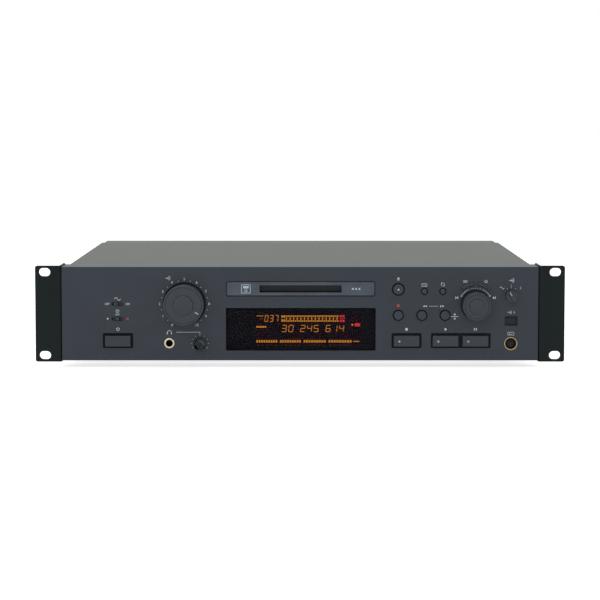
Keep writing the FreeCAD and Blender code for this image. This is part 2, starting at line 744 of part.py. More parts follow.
def top_cover():
    """A folded sheet over the top and both sides."""
    outer = block(-COVER_HALF, COVER_HALF, COVER_FRONT, COVER_BACK, PAN_Z, COVER_TOP)
    bends = []
    for edge in outer.Edges:
        if runs_along(edge, 1) and edge.BoundBox.ZMin > COVER_TOP - SHEET:
            bends.append(edge)
    outer = outer.makeFillet(COVER_BEND, bends)
    inner = block(-COVER_HALF + SHEET, COVER_HALF - SHEET, COVER_FRONT - OVER, COVER_BACK + OVER,
                  PAN_Z - OVER, COVER_TOP - SHEET)
    corners = []
    for edge in inner.Edges:
        if runs_along(edge, 1) and edge.BoundBox.ZMin > COVER_TOP - 2 * SHEET:
            corners.append(edge)
    inner = inner.makeFillet(max(COVER_BEND - SHEET, 0.2), corners)
    holes = [bar(-COVER_HALF - OVER, COVER_HALF + OVER, depth, z, SCREW_HOLE_R)
             for depth, z in cover_screw_places()]
    return cut_by(outer.cut(inner), holes)


def chassis_pan():
    """The folded base: floor, low side walls, front uprights, a front and a rear lip, studs."""
    wall_top = PAN_FLOOR + PAN_WALL_H
    upright_top = BEZEL_Z1 - BEZEL_RIM - 2 * FIT_GAP
    pan_front = COVER_FRONT
    shapes = [block(-PAN_HALF, PAN_HALF, pan_front, COVER_BACK, PAN_Z, PAN_FLOOR),
              block(-REAR_HALF, REAR_HALF, COVER_BACK, BODY_DEPTH - SHEET, PAN_Z, PAN_FLOOR)]
    for side in (-1, 1):
        ends = sorted((side * PAN_HALF, side * (PAN_HALF - SHEET)))
        shapes.append(block(ends[0], ends[1], pan_front, COVER_BACK, PAN_Z, wall_top))
        shapes.append(block(ends[0], ends[1], EAR_SCREW_DEPTH - BOSS_R, pan_front + BOSS_R,
                            BEZEL_Z0 + BEZEL_RIM + FIT_GAP, upright_top))
    lip_top = PAN_FLOOR + PAN_LIP_H
    shapes.append(block(-PAN_HALF, PAN_HALF, pan_front, pan_front + SHEET, PAN_Z, lip_top))
    shapes.append(block(-REAR_HALF + 2 * SHEET, REAR_HALF - 2 * SHEET, BODY_DEPTH - 2 * SHEET,
                        BODY_DEPTH - SHEET, PAN_Z, lip_top))
    for x, depth in stud_places():
        shapes.append(post(x, depth, STUD_R, PAN_FLOOR, PAN_FLOOR + STUD_H))
    holes = [post(x, depth, SCREW_HOLE_R, PAN_Z - OVER, PAN_FLOOR + OVER) for x, depth in foot_places()]
    for depth, z in cover_screw_places():
        holes.append(bar(-PAN_HALF - OVER, PAN_HALF + OVER, depth, z, SCREW_HOLE_R))
    for z in ear_screw_heights():
        holes.append(bar(-PAN_HALF - OVER, PAN_HALF + OVER, EAR_SCREW_DEPTH, z, EAR_SCREW_HOLE_R))
    for at in rear_screw_places():
        holes.append(rod(at, SCREW_HOLE_R, BODY_DEPTH - 3 * SHEET, BODY_DEPTH))
    return cut_by(fused(shapes), holes)


def phono_places():
    """Panel points of the phono sockets: columns of two."""
    places = []
    for column in range(PHONO_COLUMNS):
        for side in (-1, 1):
            x = PHONO_FIRST_X + column * PHONO_PITCH_X
            places.append(on_panel(x, PHONO_UP + side * PHONO_PITCH_Z / 2))
    return places


def rear_panel():
    """The rear panel with folded top and side flanges, cut-outs and ventilation slots."""
    back = block(-REAR_HALF, REAR_HALF, BODY_DEPTH - SHEET, BODY_DEPTH, PAN_FLOOR, REAR_TOP)
    top = block(-REAR_HALF, REAR_HALF, REAR_FRONT, BODY_DEPTH, REAR_TOP - SHEET, REAR_TOP)
    shapes = [back, top]
    for side in (-1, 1):
        ends = sorted((side * REAR_HALF, side * (REAR_HALF - SHEET)))
        shapes.append(block(ends[0], ends[1], REAR_FRONT, BODY_DEPTH, PAN_FLOOR, REAR_TOP))
    before = BODY_DEPTH - 2 * SHEET
    behind = BODY_DEPTH + OVER
    cuts = [rod(at, PHONO_R + FIT_GAP, before, behind) for at in phono_places()]
    cuts.append(pad(INLET_AT, (INLET_W + 2 * FIT_GAP, INLET_H + 2 * FIT_GAP), before, behind))
    cuts += [rod(at, SCREW_HOLE_R, before, behind) for at in rear_screw_places()]
    for index in range(VENTS):
        at = on_panel(VENT_FIRST_X + index * VENT_PITCH, VENT_UP)
        cuts.append(pad(at, (VENT_W, VENT_H), before, behind))
    return cut_by(fused(shapes), cuts)


def feet():
    """Four moulded feet with a well for the screw."""
    group = []
    for x, depth in foot_places():
        foot = Part.makeCone(FOOT_R - FOOT_TAPER, FOOT_R, PAN_Z, vec(x, FRONT_Y + depth, 0))
        well = post(x, depth, FOOT_WELL_R, -OVER, FOOT_WELL)
        hole = post(x, depth, SCREW_HOLE_R, -OVER, PAN_Z + OVER)
        group.append(cut_by(foot, [well, hole]))
    return group


def screw_along(place, outward, length, shank_r, head_r, head_h):
    """A pan-head screw: its head's seat at a place, its head outward, its shank inward."""
    head = Part.makeCylinder(head_r, head_h, place, outward)
    inward = outward * -1
    shank = Part.makeCylinder(shank_r, length, place, inward)
    return head.fuse(shank)


def case_screws():
    """Identical screws of the cover's sides, the rear panel and the feet."""
    group = []
    grip = 2 * SHEET + FIT_GAP + SCREW_GRIP
    for side in (-1, 1):
        for depth, z in cover_screw_places():
            place = vec(side * COVER_HALF, FRONT_Y + depth, z)
            group.append(screw_along(place, vec(side, 0, 0), grip,
                                     SCREW_SHANK_R, SCREW_HEAD_R, SCREW_HEAD_H))
    for x, z in rear_screw_places():
        place = vec(x, FRONT_Y + BODY_DEPTH, z)
        group.append(screw_along(place, vec(0, 1, 0), grip,
                                 SCREW_SHANK_R, SCREW_HEAD_R, SCREW_HEAD_H))
    foot_grip = PAN_FLOOR - FOOT_WELL + SCREW_GRIP
    for x, depth in foot_places():
        place = vec(x, FRONT_Y + depth, FOOT_WELL)
        group.append(screw_along(place, vec(0, 0, -1), foot_grip,
                                 SCREW_SHANK_R, SCREW_HEAD_R, SCREW_HEAD_H))
    return group


def ear_screws():
    """The screws that join the ears and the panel to the chassis."""
    group = []
    seat = BEZEL_HALF + EAR_GAP + EAR_SHEET
    length = seat - PAN_HALF + SHEET + SCREW_GRIP
    for side in (-1, 1):
        for z in ear_screw_heights():
            place = vec(side * seat, FRONT_Y + EAR_SCREW_DEPTH, z)
            group.append(screw_along(place, vec(side, 0, 0), length,
                                     EAR_SCREW_R, EAR_SCREW_HEAD_R, EAR_SCREW_HEAD_H))
    return group


def slot_frame():
    """The frame round the disc slot, with its throat and the holes for the door's pins."""
    x, z = SLOT_AT
    size = (SLOT_FRAME_W, SLOT_FRAME_H)
    plate = rounded(SLOT_AT, size, SLOT_FRAME_R, -SLOT_FRAME_PROUD, BEZEL_WALL)
    plate = eased(plate, SLOT_FRAME_PROUD / 2, -SLOT_FRAME_PROUD)
    wide = (SLOT_FRAME_W + 2 * SLOT_FLANGE, SLOT_FRAME_H + 2 * SLOT_FLANGE)
    flange = pad(SLOT_AT, wide, BEZEL_WALL, BEZEL_WALL + SLOT_FLANGE_T)
    throat_end = BOARD_DEPTH - THROAT_BACK
    half = CHAMBER_HALF + THROAT_WALL
    roof = SLOT_Z1 + THROAT_ROOF
    throat = block(x - half, x + half, BEZEL_WALL, throat_end, SLOT_Z0 - THROAT_WALL,
                   roof + THROAT_WALL)
    frame = fused([plate, flange, throat])
    lip_back = SLOT_LIP - SLOT_FRAME_PROUD
    mouth = rounded(SLOT_AT, (SLOT_W, SLOT_H), SLOT_FRAME_R / 2, -2 * OVER, lip_back + OVER)
    chamber = block(x - CHAMBER_HALF, x + CHAMBER_HALF, lip_back, throat_end + OVER, SLOT_Z0, roof)
    hole = bar(x - half + FIT_GAP, x + half - FIT_GAP, DOOR_PIN_DEPTH, DOOR_PIN_Z,
               DOOR_PIN_R + PIN_CLEARANCE)
    return cut_by(frame, [mouth, chamber, hole])


def slot_door():
    """The flap behind the slot, hung on two pins along its upper edge."""
    x = SLOT_AT[0]
    half = CHAMBER_HALF - DOOR_SIDE_GAP
    flap = block(x - half, x + half, DOOR_FRONT, DOOR_FRONT + DOOR_T,
                 SLOT_Z0 + DOOR_SIDE_GAP, DOOR_PIN_Z)
    knuckle = bar(x - half, x + half, DOOR_PIN_DEPTH, DOOR_PIN_Z, DOOR_PIN_R)
    reach = CHAMBER_HALF + DOOR_PIN_REACH
    pin = bar(x - reach, x + reach, DOOR_PIN_DEPTH, DOOR_PIN_Z, DOOR_PIN_R)
    return fused([flap, knuckle, pin])


def display_window():
    """The tinted window, seated from behind with a flange."""
    size = (WINDOW_W - 2 * FIT_GAP, WINDOW_H - 2 * FIT_GAP)
    pane = rounded(WINDOW_AT, size, WINDOW_R, WINDOW_RECESS, BEZEL_WALL)
    wide = (WINDOW_W + 2 * WINDOW_FLANGE, WINDOW_H + 2 * WINDOW_FLANGE)
    flange = pad(WINDOW_AT, wide, BEZEL_WALL, BEZEL_WALL + WINDOW_FLANGE_T)
    return fused([pane, flange])


def display_tube():
    """The flat glass display tube on two end feet."""
    front = BEZEL_WALL + WINDOW_FLANGE_T + TUBE_GAP
    glass = rounded(WINDOW_AT, (TUBE_W, TUBE_H), WINDOW_R, front, front + TUBE_T)
    legs = []
    for side in (-1, 1):
        at = (WINDOW_AT[0] + side * (TUBE_W - TUBE_LEG_W) / 2, WINDOW_AT[1])
        legs.append(pad(at, (TUBE_LEG_W, TUBE_H - 2 * WINDOW_R), front + TUBE_T, BOARD_DEPTH))
    return fused([glass] + legs)


def front_board():
    """The circuit board behind the panel, open at the slot's passage and the jack."""
    half = BEZEL_HALF - BOARD_MARGIN_X
    low = BEZEL_Z0 + BOARD_MARGIN_Z
    high = BEZEL_Z1 - BOARD_MARGIN_Z
    board = block(-half, half, BOARD_DEPTH, BOARD_BACK, low, high)
    passage_half = HOLDER_HALF + THROAT_WALL
    passage = block(SLOT_AT[0] - passage_half, SLOT_AT[0] + passage_half, BOARD_DEPTH - OVER,
                    BOARD_BACK + OVER, HOLDER_BOTTOM - HOLDER_DROP - FIT_GAP, high + OVER)
    jack = pad(JACK_AT, (JACK_BODY_W + 2 * KEY_GAP, JACK_BODY_H + 2 * KEY_GAP),
               BOARD_DEPTH - OVER, BOARD_BACK + OVER)
    return cut_by(board, [passage, jack])


def flange_depths():
    """The depths between which every key's flange lies at rest."""
    front = BEZEL_WALL + KEY_REST_GAP
    return front, front + KEY_FLANGE_T


def rect_key(at, size, travel):
    """A rectangular key with rounded corners and an eased face."""
    front, back = flange_depths()
    cap = rounded(at, size, KEY_CORNER, -KEY_PROUD, front)
    cap = eased(cap, KEY_EDGE, -KEY_PROUD)
    flange = pad(at, (size[0] + 2 * KEY_FLANGE, size[1] + 2 * KEY_FLANGE), front, back)
    stem = rod(at, KEY_STEM_R, back, SWITCH_FRONT - travel - KEY_REST_GAP)
    return fused([cap, flange, stem])


def round_key(at, radius, proud):
    """A round key with a slightly domed face."""
    front, back = flange_depths()
    cap = eased(rod(at, radius, -proud, front), KEY_EDGE, -proud)
    flange = rod(at, radius + KEY_FLANGE, front, back)
    stem = rod(at, KEY_STEM_R, back, SWITCH_FRONT - KEY_TRAVEL - KEY_REST_GAP)
    return fused([cap, flange, stem])


def arc_key(angles):
    """A curved key that follows the track knob's edge."""
    front, back = flange_depths()
    spread = math.degrees(KEY_FLANGE / ARC_IN_R)
    cap = arc_band(JOG_AT, ARC_IN_R, ARC_OUT_R, angles[0], angles[1], -ARC_PROUD, front)
    cap = eased(cap, KEY_EDGE, -ARC_PROUD)
    flange = arc_band(JOG_AT, ARC_IN_R - KEY_FLANGE, ARC_OUT_R + KEY_FLANGE,
                      angles[0] - spread / 2, angles[1] + spread / 2, front, back)
    stem = rod(arc_middle(angles), KEY_STEM_R, back, SWITCH_FRONT - KEY_TRAVEL - KEY_REST_GAP)
    return fused([cap, flange, stem])


def switch_places():
    """Where the identical push switches sit: behind every key but the power button."""
    places = [at for name, (at, size, travel) in rect_keys().items() if name != "power_button"]
    places += [values[0] for values in round_keys().values()]
    places += [arc_middle(angles) for angles in arc_keys().values()]
    return places


def push_switch(at):
    """A square switch body with a round tip."""
    body = pad(at, (SWITCH_SIDE, SWITCH_SIDE), BOARD_DEPTH - SWITCH_H, BOARD_DEPTH)
    tip = rod(at, SWITCH_TIP_R, SWITCH_FRONT, BOARD_DEPTH - SWITCH_H)
    return fused([body, tip])


def power_switch():
    """The larger push switch behind the power button."""
    side = POWER_SWITCH_SIDE
    body = pad(POWER_AT, (side, side), BOARD_DEPTH - SWITCH_H, BOARD_DEPTH)
    tip = rod(POWER_AT, SWITCH_TIP_R, SWITCH_FRONT, BOARD_DEPTH - SWITCH_H)
    return fused([body, tip])


def knob(at, radius, reach, hub_r, hub_rise, shell_bore):
    """A turned hollow knob with a raised hub and a boss bored for its shaft."""
    face = -(reach - hub_rise)
    tip = -reach
    foot = -KNOB_FOOT_GAP
    roof = face + 2 * KNOB_SHELL
    boss = shell_bore + KNOB_SHELL
    ease = KNOB_EDGE
    profile = [(0, tip), (hub_r - ease, tip), (hub_r, tip + ease / 2), (hub_r, face),
               (radius - ease, face), (radius, face + ease), (radius, foot),
               (radius - KNOB_SHELL, foot), (radius - KNOB_SHELL, roof), (boss, roof),
               (boss, foot), (shell_bore, foot), (shell_bore, roof - KNOB_SHELL),
               (0, roof - KNOB_SHELL)]
    return spun(at, profile)


def shaft(at, reach, hub_rise, end):
    """A control shaft from the bottom of its knob's bore to its end in the control."""
    bore_end = -(reach - hub_rise) + KNOB_SHELL
    return rod(at, SHAFT_R, bore_end, end)


def control_body(at, side, bush_r, bore_r, bore_end):
    """A rotary control: a square case behind the panel and a round bush through it."""
    case = pad(at, (side, side), POT_FRONT, BOARD_DEPTH)
    bush = rod(at, bush_r, BUSH_FRONT, POT_FRONT)
    bore = rod(at, bore_r, BUSH_FRONT - OVER, bore_end)
    return fused([case, bush]).cut(bore)


def shaft_end():
    """The depth where the large controls' shafts end."""
    return BOARD_DEPTH - POT_FLOOR


def input_pot():
    return control_body(INPUT_AT, INPUT_POT_SIDE, BUSH_R, SHAFT_R + RUN_CLEARANCE,
                        shaft_end() + ROTOR_GAP)


def jog_encoder():
    """The encoder's case, with a round chamber for its rotor and room for the shaft's push."""
    case = control_body(JOG_AT, JOG_POT_SIDE, BUSH_R, SHAFT_R + RUN_CLEARANCE,
                        shaft_end() + ROTOR_GAP)
    chamber = rod(JOG_AT, JOG_ROTOR_R + RUN_CLEARANCE, JOG_ROTOR_FRONT - RUN_CLEARANCE,
                  JOG_ROTOR_FRONT + JOG_ROTOR_T + RUN_CLEARANCE)
    return case.cut(chamber)


def jog_rotor():
    """The sleeve that turns in the encoder and lets the shaft slide through it."""
    ring = rod(JOG_AT, JOG_ROTOR_R, JOG_ROTOR_FRONT, JOG_ROTOR_FRONT + JOG_ROTOR_T)
    bore = rod(JOG_AT, SHAFT_R + RUN_CLEARANCE, JOG_ROTOR_FRONT - OVER,
               JOG_ROTOR_FRONT + JOG_ROTOR_T + OVER)
    return ring.cut(bore)


def phones_knob():
    """The small level knob, moulded in one with its stem."""
    cap = eased(rod(PHONES_AT, PHONES_KNOB_R, -PHONES_REACH, -KNOB_FOOT_GAP),
                KNOB_EDGE, -PHONES_REACH)
    stem = rod(PHONES_AT, PHONES_STEM_R, -KNOB_FOOT_GAP, shaft_end())
    return fused([cap, stem])


def small_control(at, side):
    """The case of a small rotary control, bored for a moulded stem."""
    case = pad(at, (side, side), POT_FRONT, BOARD_DEPTH)
    bore = rod(at, PHONES_STEM_R + RUN_CLEARANCE, POT_FRONT - OVER, shaft_end() + ROTOR_GAP)
    return case.cut(bore)


def selector_knob():
    """The selector: a disc with a bar grip across it, moulded in one with its stem."""
    base = -(SELECTOR_REACH - SELECTOR_GRIP_RISE)
    disc = rod(SELECTOR_AT, SELECTOR_R, base, -KNOB_FOOT_GAP)
    grip = pad(SELECTOR_AT, (SELECTOR_GRIP_W, 2 * SELECTOR_R), -SELECTOR_REACH, base)
    grip = grip.common(rod(SELECTOR_AT, SELECTOR_R, -SELECTOR_REACH, base))
    grip = eased(grip, KNOB_EDGE / 2, -SELECTOR_REACH)
    centre = vec(SELECTOR_AT[0], 0, SELECTOR_AT[1])
    grip.rotate(centre, vec(0, 1, 0), SELECTOR_REST)
    stem = rod(SELECTOR_AT, PHONES_STEM_R, -KNOB_FOOT_GAP, shaft_end())
    return fused([disc, grip, stem])


def slider(at, offset):
    """A slide switch's nub, on a plate that stays behind the panel."""
    front, back = flange_depths()
    place = (at[0] + offset, at[1])
    nub = pad(place, (SLIDER_NUB_W, SLIDER_NUB_H), -SLIDER_PROUD, front)
    nub = eased(nub, KEY_EDGE, -SLIDER_PROUD)
    plate = pad(place, (SLIDER_PLATE_W, SLIDER_PLATE_H), front, back)
    tongue = pad(place, (SLIDER_NUB_W, SLIDER_NUB_H), back, SWITCH_FRONT - KEY_REST_GAP)
    return fused([nub, plate, tongue])


def slide_switches():
    """The two identical slide switches on the board, each with a channel for its tongue."""
    group = []
    for at in (PITCH_AT, TIMER_AT):
        front = SWITCH_FRONT - 2 * SWITCH_TIP_H
        body = pad(at, (SLIDER_SWITCH_W, SLIDER_SWITCH_H), front, BOARD_DEPTH)
        channel = (SLIDER_NUB_W + 2 * SLIDER_TRAVEL + 2 * KEY_GAP, SLIDER_NUB_H + 2 * KEY_GAP)
        group.append(body.cut(pad(at, channel, front - OVER, SWITCH_FRONT)))
    return group


def phones_jack():
    """The phones socket: a bored case and a threaded bush through the panel."""
    case = pad(JACK_AT, (JACK_BODY_W, JACK_BODY_H), BEZEL_WALL, BOARD_BACK + JACK_BODY_END)
    bush = rod(JACK_AT, JACK_BUSH_R, -JACK_NUT_T, BEZEL_WALL)
    bore = rod(JACK_AT, JACK_BORE_R, -JACK_NUT_T - OVER, JACK_BORE_LENGTH - JACK_NUT_T)
    return fused([case, bush]).cut(bore)


def phones_jack_nut():
    """The nut that clamps the phones socket against the panel."""
    nut = eased(rod(JACK_AT, JACK_NUT_R, -JACK_NUT_T, 0), JACK_NUT_T / 4, -JACK_NUT_T)
    return nut.cut(rod(JACK_AT, JACK_BUSH_R, -JACK_NUT_T - OVER, 1))


def optical_sizes():
    """The optical socket's outer size and the size of its cavity."""
    outer = (OPTICAL_W - 2 * FIT_GAP, OPTICAL_H - 2 * FIT_GAP)
    return outer, (outer[0] - 2 * OPTICAL_WALL, outer[1] - 2 * OPTICAL_WALL)


def optical_in_socket():
    """The optical input: a square funnel with a cavity for the plug and pin holes."""
    outer, cavity = optical_sizes()
    body = pad(OPTICAL_AT, outer, OPTICAL_RECESS, BOARD_DEPTH)
    hollow = pad(OPTICAL_AT, cavity, OPTICAL_RECESS - OVER, OPTICAL_CAVITY)
    half = cavity[0] / 2 + SHUTTER_PIN_REACH
    hole = bar(OPTICAL_AT[0] - half, OPTICAL_AT[0] + half, shutter_pin()[0], shutter_pin()[1],
               SHUTTER_PIN_R + PIN_CLEARANCE)
    return cut_by(body, [hollow, hole])


def shutter_pin():
    """Depth and height of the optical shutter's pin."""
    cavity = optical_sizes()[1]
    depth = OPTICAL_RECESS + SHUTTER_SETBACK + SHUTTER_T / 2
    return depth, OPTICAL_AT[1] + cavity[1] / 2 - SHUTTER_T / 2 - SHUTTER_SIDE_GAP


def optical_shutter():
    """The spring flap that closes the optical input."""
    cavity = optical_sizes()[1]
    depth, z = shutter_pin()
    half = cavity[0] / 2 - SHUTTER_SIDE_GAP
    x = OPTICAL_AT[0]
    flap = block(x - half, x + half, depth - SHUTTER_T / 2, depth + SHUTTER_T / 2,
                 OPTICAL_AT[1] - cavity[1] / 2 + SHUTTER_SIDE_GAP, z)
    reach = cavity[0] / 2 + SHUTTER_PIN_REACH - RUN_CLEARANCE
    knuckle = bar(x - half, x + half, depth, z, SHUTTER_T / 2)
    pin = bar(x - reach, x + reach, depth, z, SHUTTER_PIN_R)
    return fused([flap, knuckle, pin])


def keyboard_socket():
    """The round socket: a case, a flush ring, a ring-shaped gap and a core with pin holes."""
    case = pad(DIN_AT, (DIN_BODY, DIN_BODY), BEZEL_WALL, BOARD_DEPTH)
    ring = rod(DIN_AT, DIN_RING_R, -DIN_PROUD, BEZEL_WALL)
    ring = eased(ring, DIN_PROUD / 2, -DIN_PROUD)
    gap = rod(DIN_AT, DIN_SHELL_R, -DIN_PROUD - OVER, DIN_DEPTH)
    core = rod(DIN_AT, DIN_CORE_R, BUSH_FRONT, DIN_DEPTH)
    holes = []
    for index in range(DIN_PINS):
        turn = math.radians(360 / (DIN_PINS + 1) * (index + 1))
        at = (DIN_AT[0] - DIN_PIN_RING * math.sin(turn), DIN_AT[1] - DIN_PIN_RING * math.cos(turn))
        holes.append(rod(at, DIN_PIN_R, -DIN_PROUD - OVER, DIN_DEPTH))
    socket = fused([case, ring]).cut(gap)
    return cut_by(fused([socket, core]), holes)


def mech_x(offset):
    """A place across the mechanism, from the slot's middle line."""
    return SLOT_AT[0] + offset


def rod_lines():
    """The two guide rails and the lead screw: offsets across the mechanism."""
    return (-RAIL_HALF_SPACE, RAIL_HALF_SPACE, SCREW_X)


def holder_pins():
    """Depth of the pins on each side of the holder."""
    return (BAY_FRONT + HOLDER_PIN_FRONT, BAY_FRONT + HOLDER_PIN_BACK)


def cartridge_holder():
    """The sheet cage that takes the cartridge: roof, sides, lower lips, a stop and four pins."""
    left, right = mech_x(-HOLDER_HALF), mech_x(HOLDER_HALF)
    back = BAY_FRONT + BAY_LENGTH
    cage = block(left, right, BAY_FRONT, back + HOLDER_SHEET, HOLDER_BOTTOM, HOLDER_TOP)
    bay = block(left + HOLDER_SHEET, right - HOLDER_SHEET, BAY_FRONT - OVER, back, BAY_Z0, BAY_Z1)
    under = block(left + HOLDER_LIP, right - HOLDER_LIP, BAY_FRONT - OVER, back + HOLDER_SHEET + OVER,
                  HOLDER_BOTTOM - OVER, BAY_Z0 + HOLDER_SHEET)
    window = block(mech_x(-HOLDER_WINDOW_W / 2), mech_x(HOLDER_WINDOW_W / 2),
                   BAY_FRONT + HOLDER_WINDOW_FROM, back - HOLDER_LIP, BAY_Z1 - OVER, HOLDER_TOP + OVER)
    reach = GUIDE_IN + 2 * GUIDE_T
    pins = []
    for depth in holder_pins():
        z = SLOT_AT[1]
        pins.append(bar(mech_x(-reach), left, depth, z, HOLDER_PIN_R))
        pins.append(bar(right, mech_x(reach), depth, z, HOLDER_PIN_R))
    return fused([cut_by(cage, [bay, under, window])] + pins)


def guide_plate(side):
    """An upright beside the holder, slotted for its pins."""
    ends = sorted((mech_x(side * GUIDE_IN), mech_x(side * (GUIDE_IN + GUIDE_T))))
    plate = block(ends[0], ends[1], GUIDE_FRONT, GUIDE_BACK, DECK_BASE, HOLDER_TOP)
    slots = []
    half = HOLDER_PIN_R + 2 * RUN_CLEARANCE
    for depth in holder_pins():
        slots.append(block(ends[0] - OVER, ends[1] + OVER, depth - half, depth + half,
                           SLOT_AT[1] - HOLDER_DROP - HOLDER_PIN_R - GUIDE_SLOT_GAP,
                           SLOT_AT[1] + HOLDER_PIN_R + GUIDE_SLOT_GAP))
    return cut_by(plate, slots)


def mech_deck():
    """The mechanism's deck: a plate on four folded legs, guide plates and bearing posts."""
    half = DECK_W / 2
    shapes = [block(mech_x(-half), mech_x(half), DECK_FRONT, DECK_BACK, DECK_BASE, DECK_TOP)]
    for side in (-1, 1):
        shapes.append(guide_plate(side))
        outer = sorted((mech_x(side * half), mech_x(side * (half - DECK_SHEET))))
        tab = sorted((mech_x(side * half), mech_x(side * (half - LEG_W))))
        for depth in (DECK_FRONT, DECK_BACK - LEG_W):
            shapes.append(block(outer[0], outer[1], depth, depth + LEG_W, PAN_FLOOR, DECK_TOP))
            shapes.append(block(tab[0], tab[1], depth, depth + LEG_W, PAN_FLOOR,
                                PAN_FLOOR + DECK_SHEET))
    holes = []
    for offset in rod_lines():
        turning = offset == SCREW_X
        at = (mech_x(offset), RAIL_Z)
        for depth in (RAIL_FRONT, RAIL_BACK - RAIL_POST):
            shapes.append(block(at[0] - RAIL_POST / 2 - RAIL_R, at[0] + RAIL_POST / 2 + RAIL_R,
                                depth, depth + RAIL_POST, DECK_BASE, RAIL_Z + 2 * RAIL_R))
        radius = SCREW_R + RUN_CLEARANCE if turning else RAIL_R
        holes.append(rod(at, radius, RAIL_FRONT - OVER, RAIL_BACK + OVER))
    return cut_by(fused(shapes), holes)


def sled_rails():
    """The two round rails that the sled runs on."""
    return [rod((mech_x(offset), RAIL_Z), RAIL_R, RAIL_FRONT, RAIL_BACK)
            for offset in (-RAIL_HALF_SPACE, RAIL_HALF_SPACE)]


def pickup_sled():
    """The optical sled: a block on the rails, its lens and an arm with the lead screw's nut."""
    back = SLED_FRONT + SLED_LENGTH
    body = block(mech_x(-SLED_W / 2), mech_x(SLED_W / 2), SLED_FRONT, back,
                 RAIL_Z - SLED_T / 2, RAIL_Z + SLED_T / 2)
    lens = post(mech_x(0), SLED_FRONT + SLED_T, LENS_R, RAIL_Z + SLED_T / 2,
                RAIL_Z + SLED_T / 2 + LENS_H)
    nut = block(mech_x(SLED_W / 2), mech_x(SCREW_X + SCREW_NUT_W / 2),
                SLED_FRONT + SLED_T, SLED_FRONT + SLED_T + SCREW_NUT_W,
                RAIL_Z - SLED_T / 2, RAIL_Z + SLED_T / 2)
    holes = []
    for offset in rod_lines():
        turning = offset == SCREW_X
        radius = SCREW_R + SCREW_NUT_GAP if turning else RAIL_R + RUN_CLEARANCE
        holes.append(rod((mech_x(offset), RAIL_Z), radius, SLED_FRONT - OVER, back + OVER))
    return cut_by(fused([body, lens, nut]), holes)


def head_arm():
    """The arm that carries the recording head over the holder, standing on the sled."""
    back = SLED_FRONT + SLED_LENGTH
    left, right = mech_x(-ARM_W / 2), mech_x(ARM_W / 2)
    arm_z = HOLDER_TOP + ARM_OVER
    riser = block(left, right, back - ARM_T, back, RAIL_Z + SLED_T / 2, arm_z)
    arm = block(left, right, back - ARM_REACH, back, arm_z, arm_z + ARM_T)
    head = block(left + ARM_T, right - ARM_T, back - ARM_REACH, back - ARM_REACH + ARM_SETBACK,
                 HOLDER_TOP + ARM_T / 2, arm_z)
    return fused([riser, arm, head])


def lead_screw():
    """The screw that drives the sled, from its front bearing into its motor."""
    return rod((mech_x(SCREW_X), RAIL_Z), SCREW_R, RAIL_FRONT, RAIL_BACK + SLED_MOTOR_L / 2)


def sled_motor():
    """The small motor at the lead screw's end, on a saddle."""
    at = (mech_x(SCREW_X), RAIL_Z)
    front = RAIL_BACK + FIT_GAP
    case = rod(at, SLED_MOTOR_R, front, front + SLED_MOTOR_L)
    saddle = block(at[0] - SLED_MOTOR_R / 2, at[0] + SLED_MOTOR_R / 2, front,
                   front + SLED_MOTOR_L, DECK_TOP, RAIL_Z)
    bore = rod(at, SCREW_R + RUN_CLEARANCE, front - OVER, RAIL_BACK + SLED_MOTOR_L / 2 + ROTOR_GAP)
    return fused([case, saddle]).cut(bore)


def disc_motor():
    """The spindle motor on the deck, bored for the spindle."""
    case = post(mech_x(0), SPINDLE_DEPTH, MOTOR_R, DECK_TOP, MOTOR_TOP)
    bore = post(mech_x(0), SPINDLE_DEPTH, SPINDLE_R + RUN_CLEARANCE,
                spindle_end() - ROTOR_GAP, MOTOR_TOP + OVER)
    return case.cut(bore)


def spindle_end():
    """Height of the spindle's lower end, most of the way down its motor."""
    return DECK_TOP + (MOTOR_TOP - DECK_TOP) / 3


def turntable():
    """The turntable with its centring spigot, on its spindle."""
    disc = post(mech_x(0), SPINDLE_DEPTH, TURNTABLE_R, TURNTABLE_TOP - TURNTABLE_T, TURNTABLE_TOP)
    spigot = post(mech_x(0), SPINDLE_DEPTH, SPIGOT_R, TURNTABLE_TOP, TURNTABLE_TOP + SPIGOT_H)
    spindle = post(mech_x(0), SPINDLE_DEPTH, SPINDLE_R, spindle_end(), TURNTABLE_TOP)
    return fused([disc, spigot, spindle])


def main_board():
    """The main board on its studs, with its chips and a row of capacitors soldered to it."""
    z0 = PAN_FLOOR + STUD_H
    z1 = z0 + BOARD_SHEET
    shapes = [block(MAIN_X0, MAIN_X1, MAIN_FRONT, MAIN_BACK, z0, z1)]
    middle = (MAIN_FRONT + MAIN_BACK) / 2
    chips = int((MAIN_X1 - MAIN_X0 - 2 * STUD_INSET - CHIP_W) // CHIP_PITCH) + 1
    for index in range(chips):
        x = MAIN_X0 + STUD_INSET + CHIP_W / 2 + index * CHIP_PITCH
        shapes.append(block(x, x + CHIP_W, middle - CHIP_W / 2, middle + CHIP_W / 2, z1,
                            z1 + CHIP_T))
    for index in range(CAPACITORS):
        x = MAIN_X0 + 2 * STUD_INSET + CAPACITOR_R + index * CAPACITOR_PITCH
        depth = MAIN_FRONT + 2 * STUD_INSET + CAPACITOR_R / 2
        shapes.append(post(x, depth, CAPACITOR_R, z1, z1 + CAPACITOR_H))
    return fused(shapes)


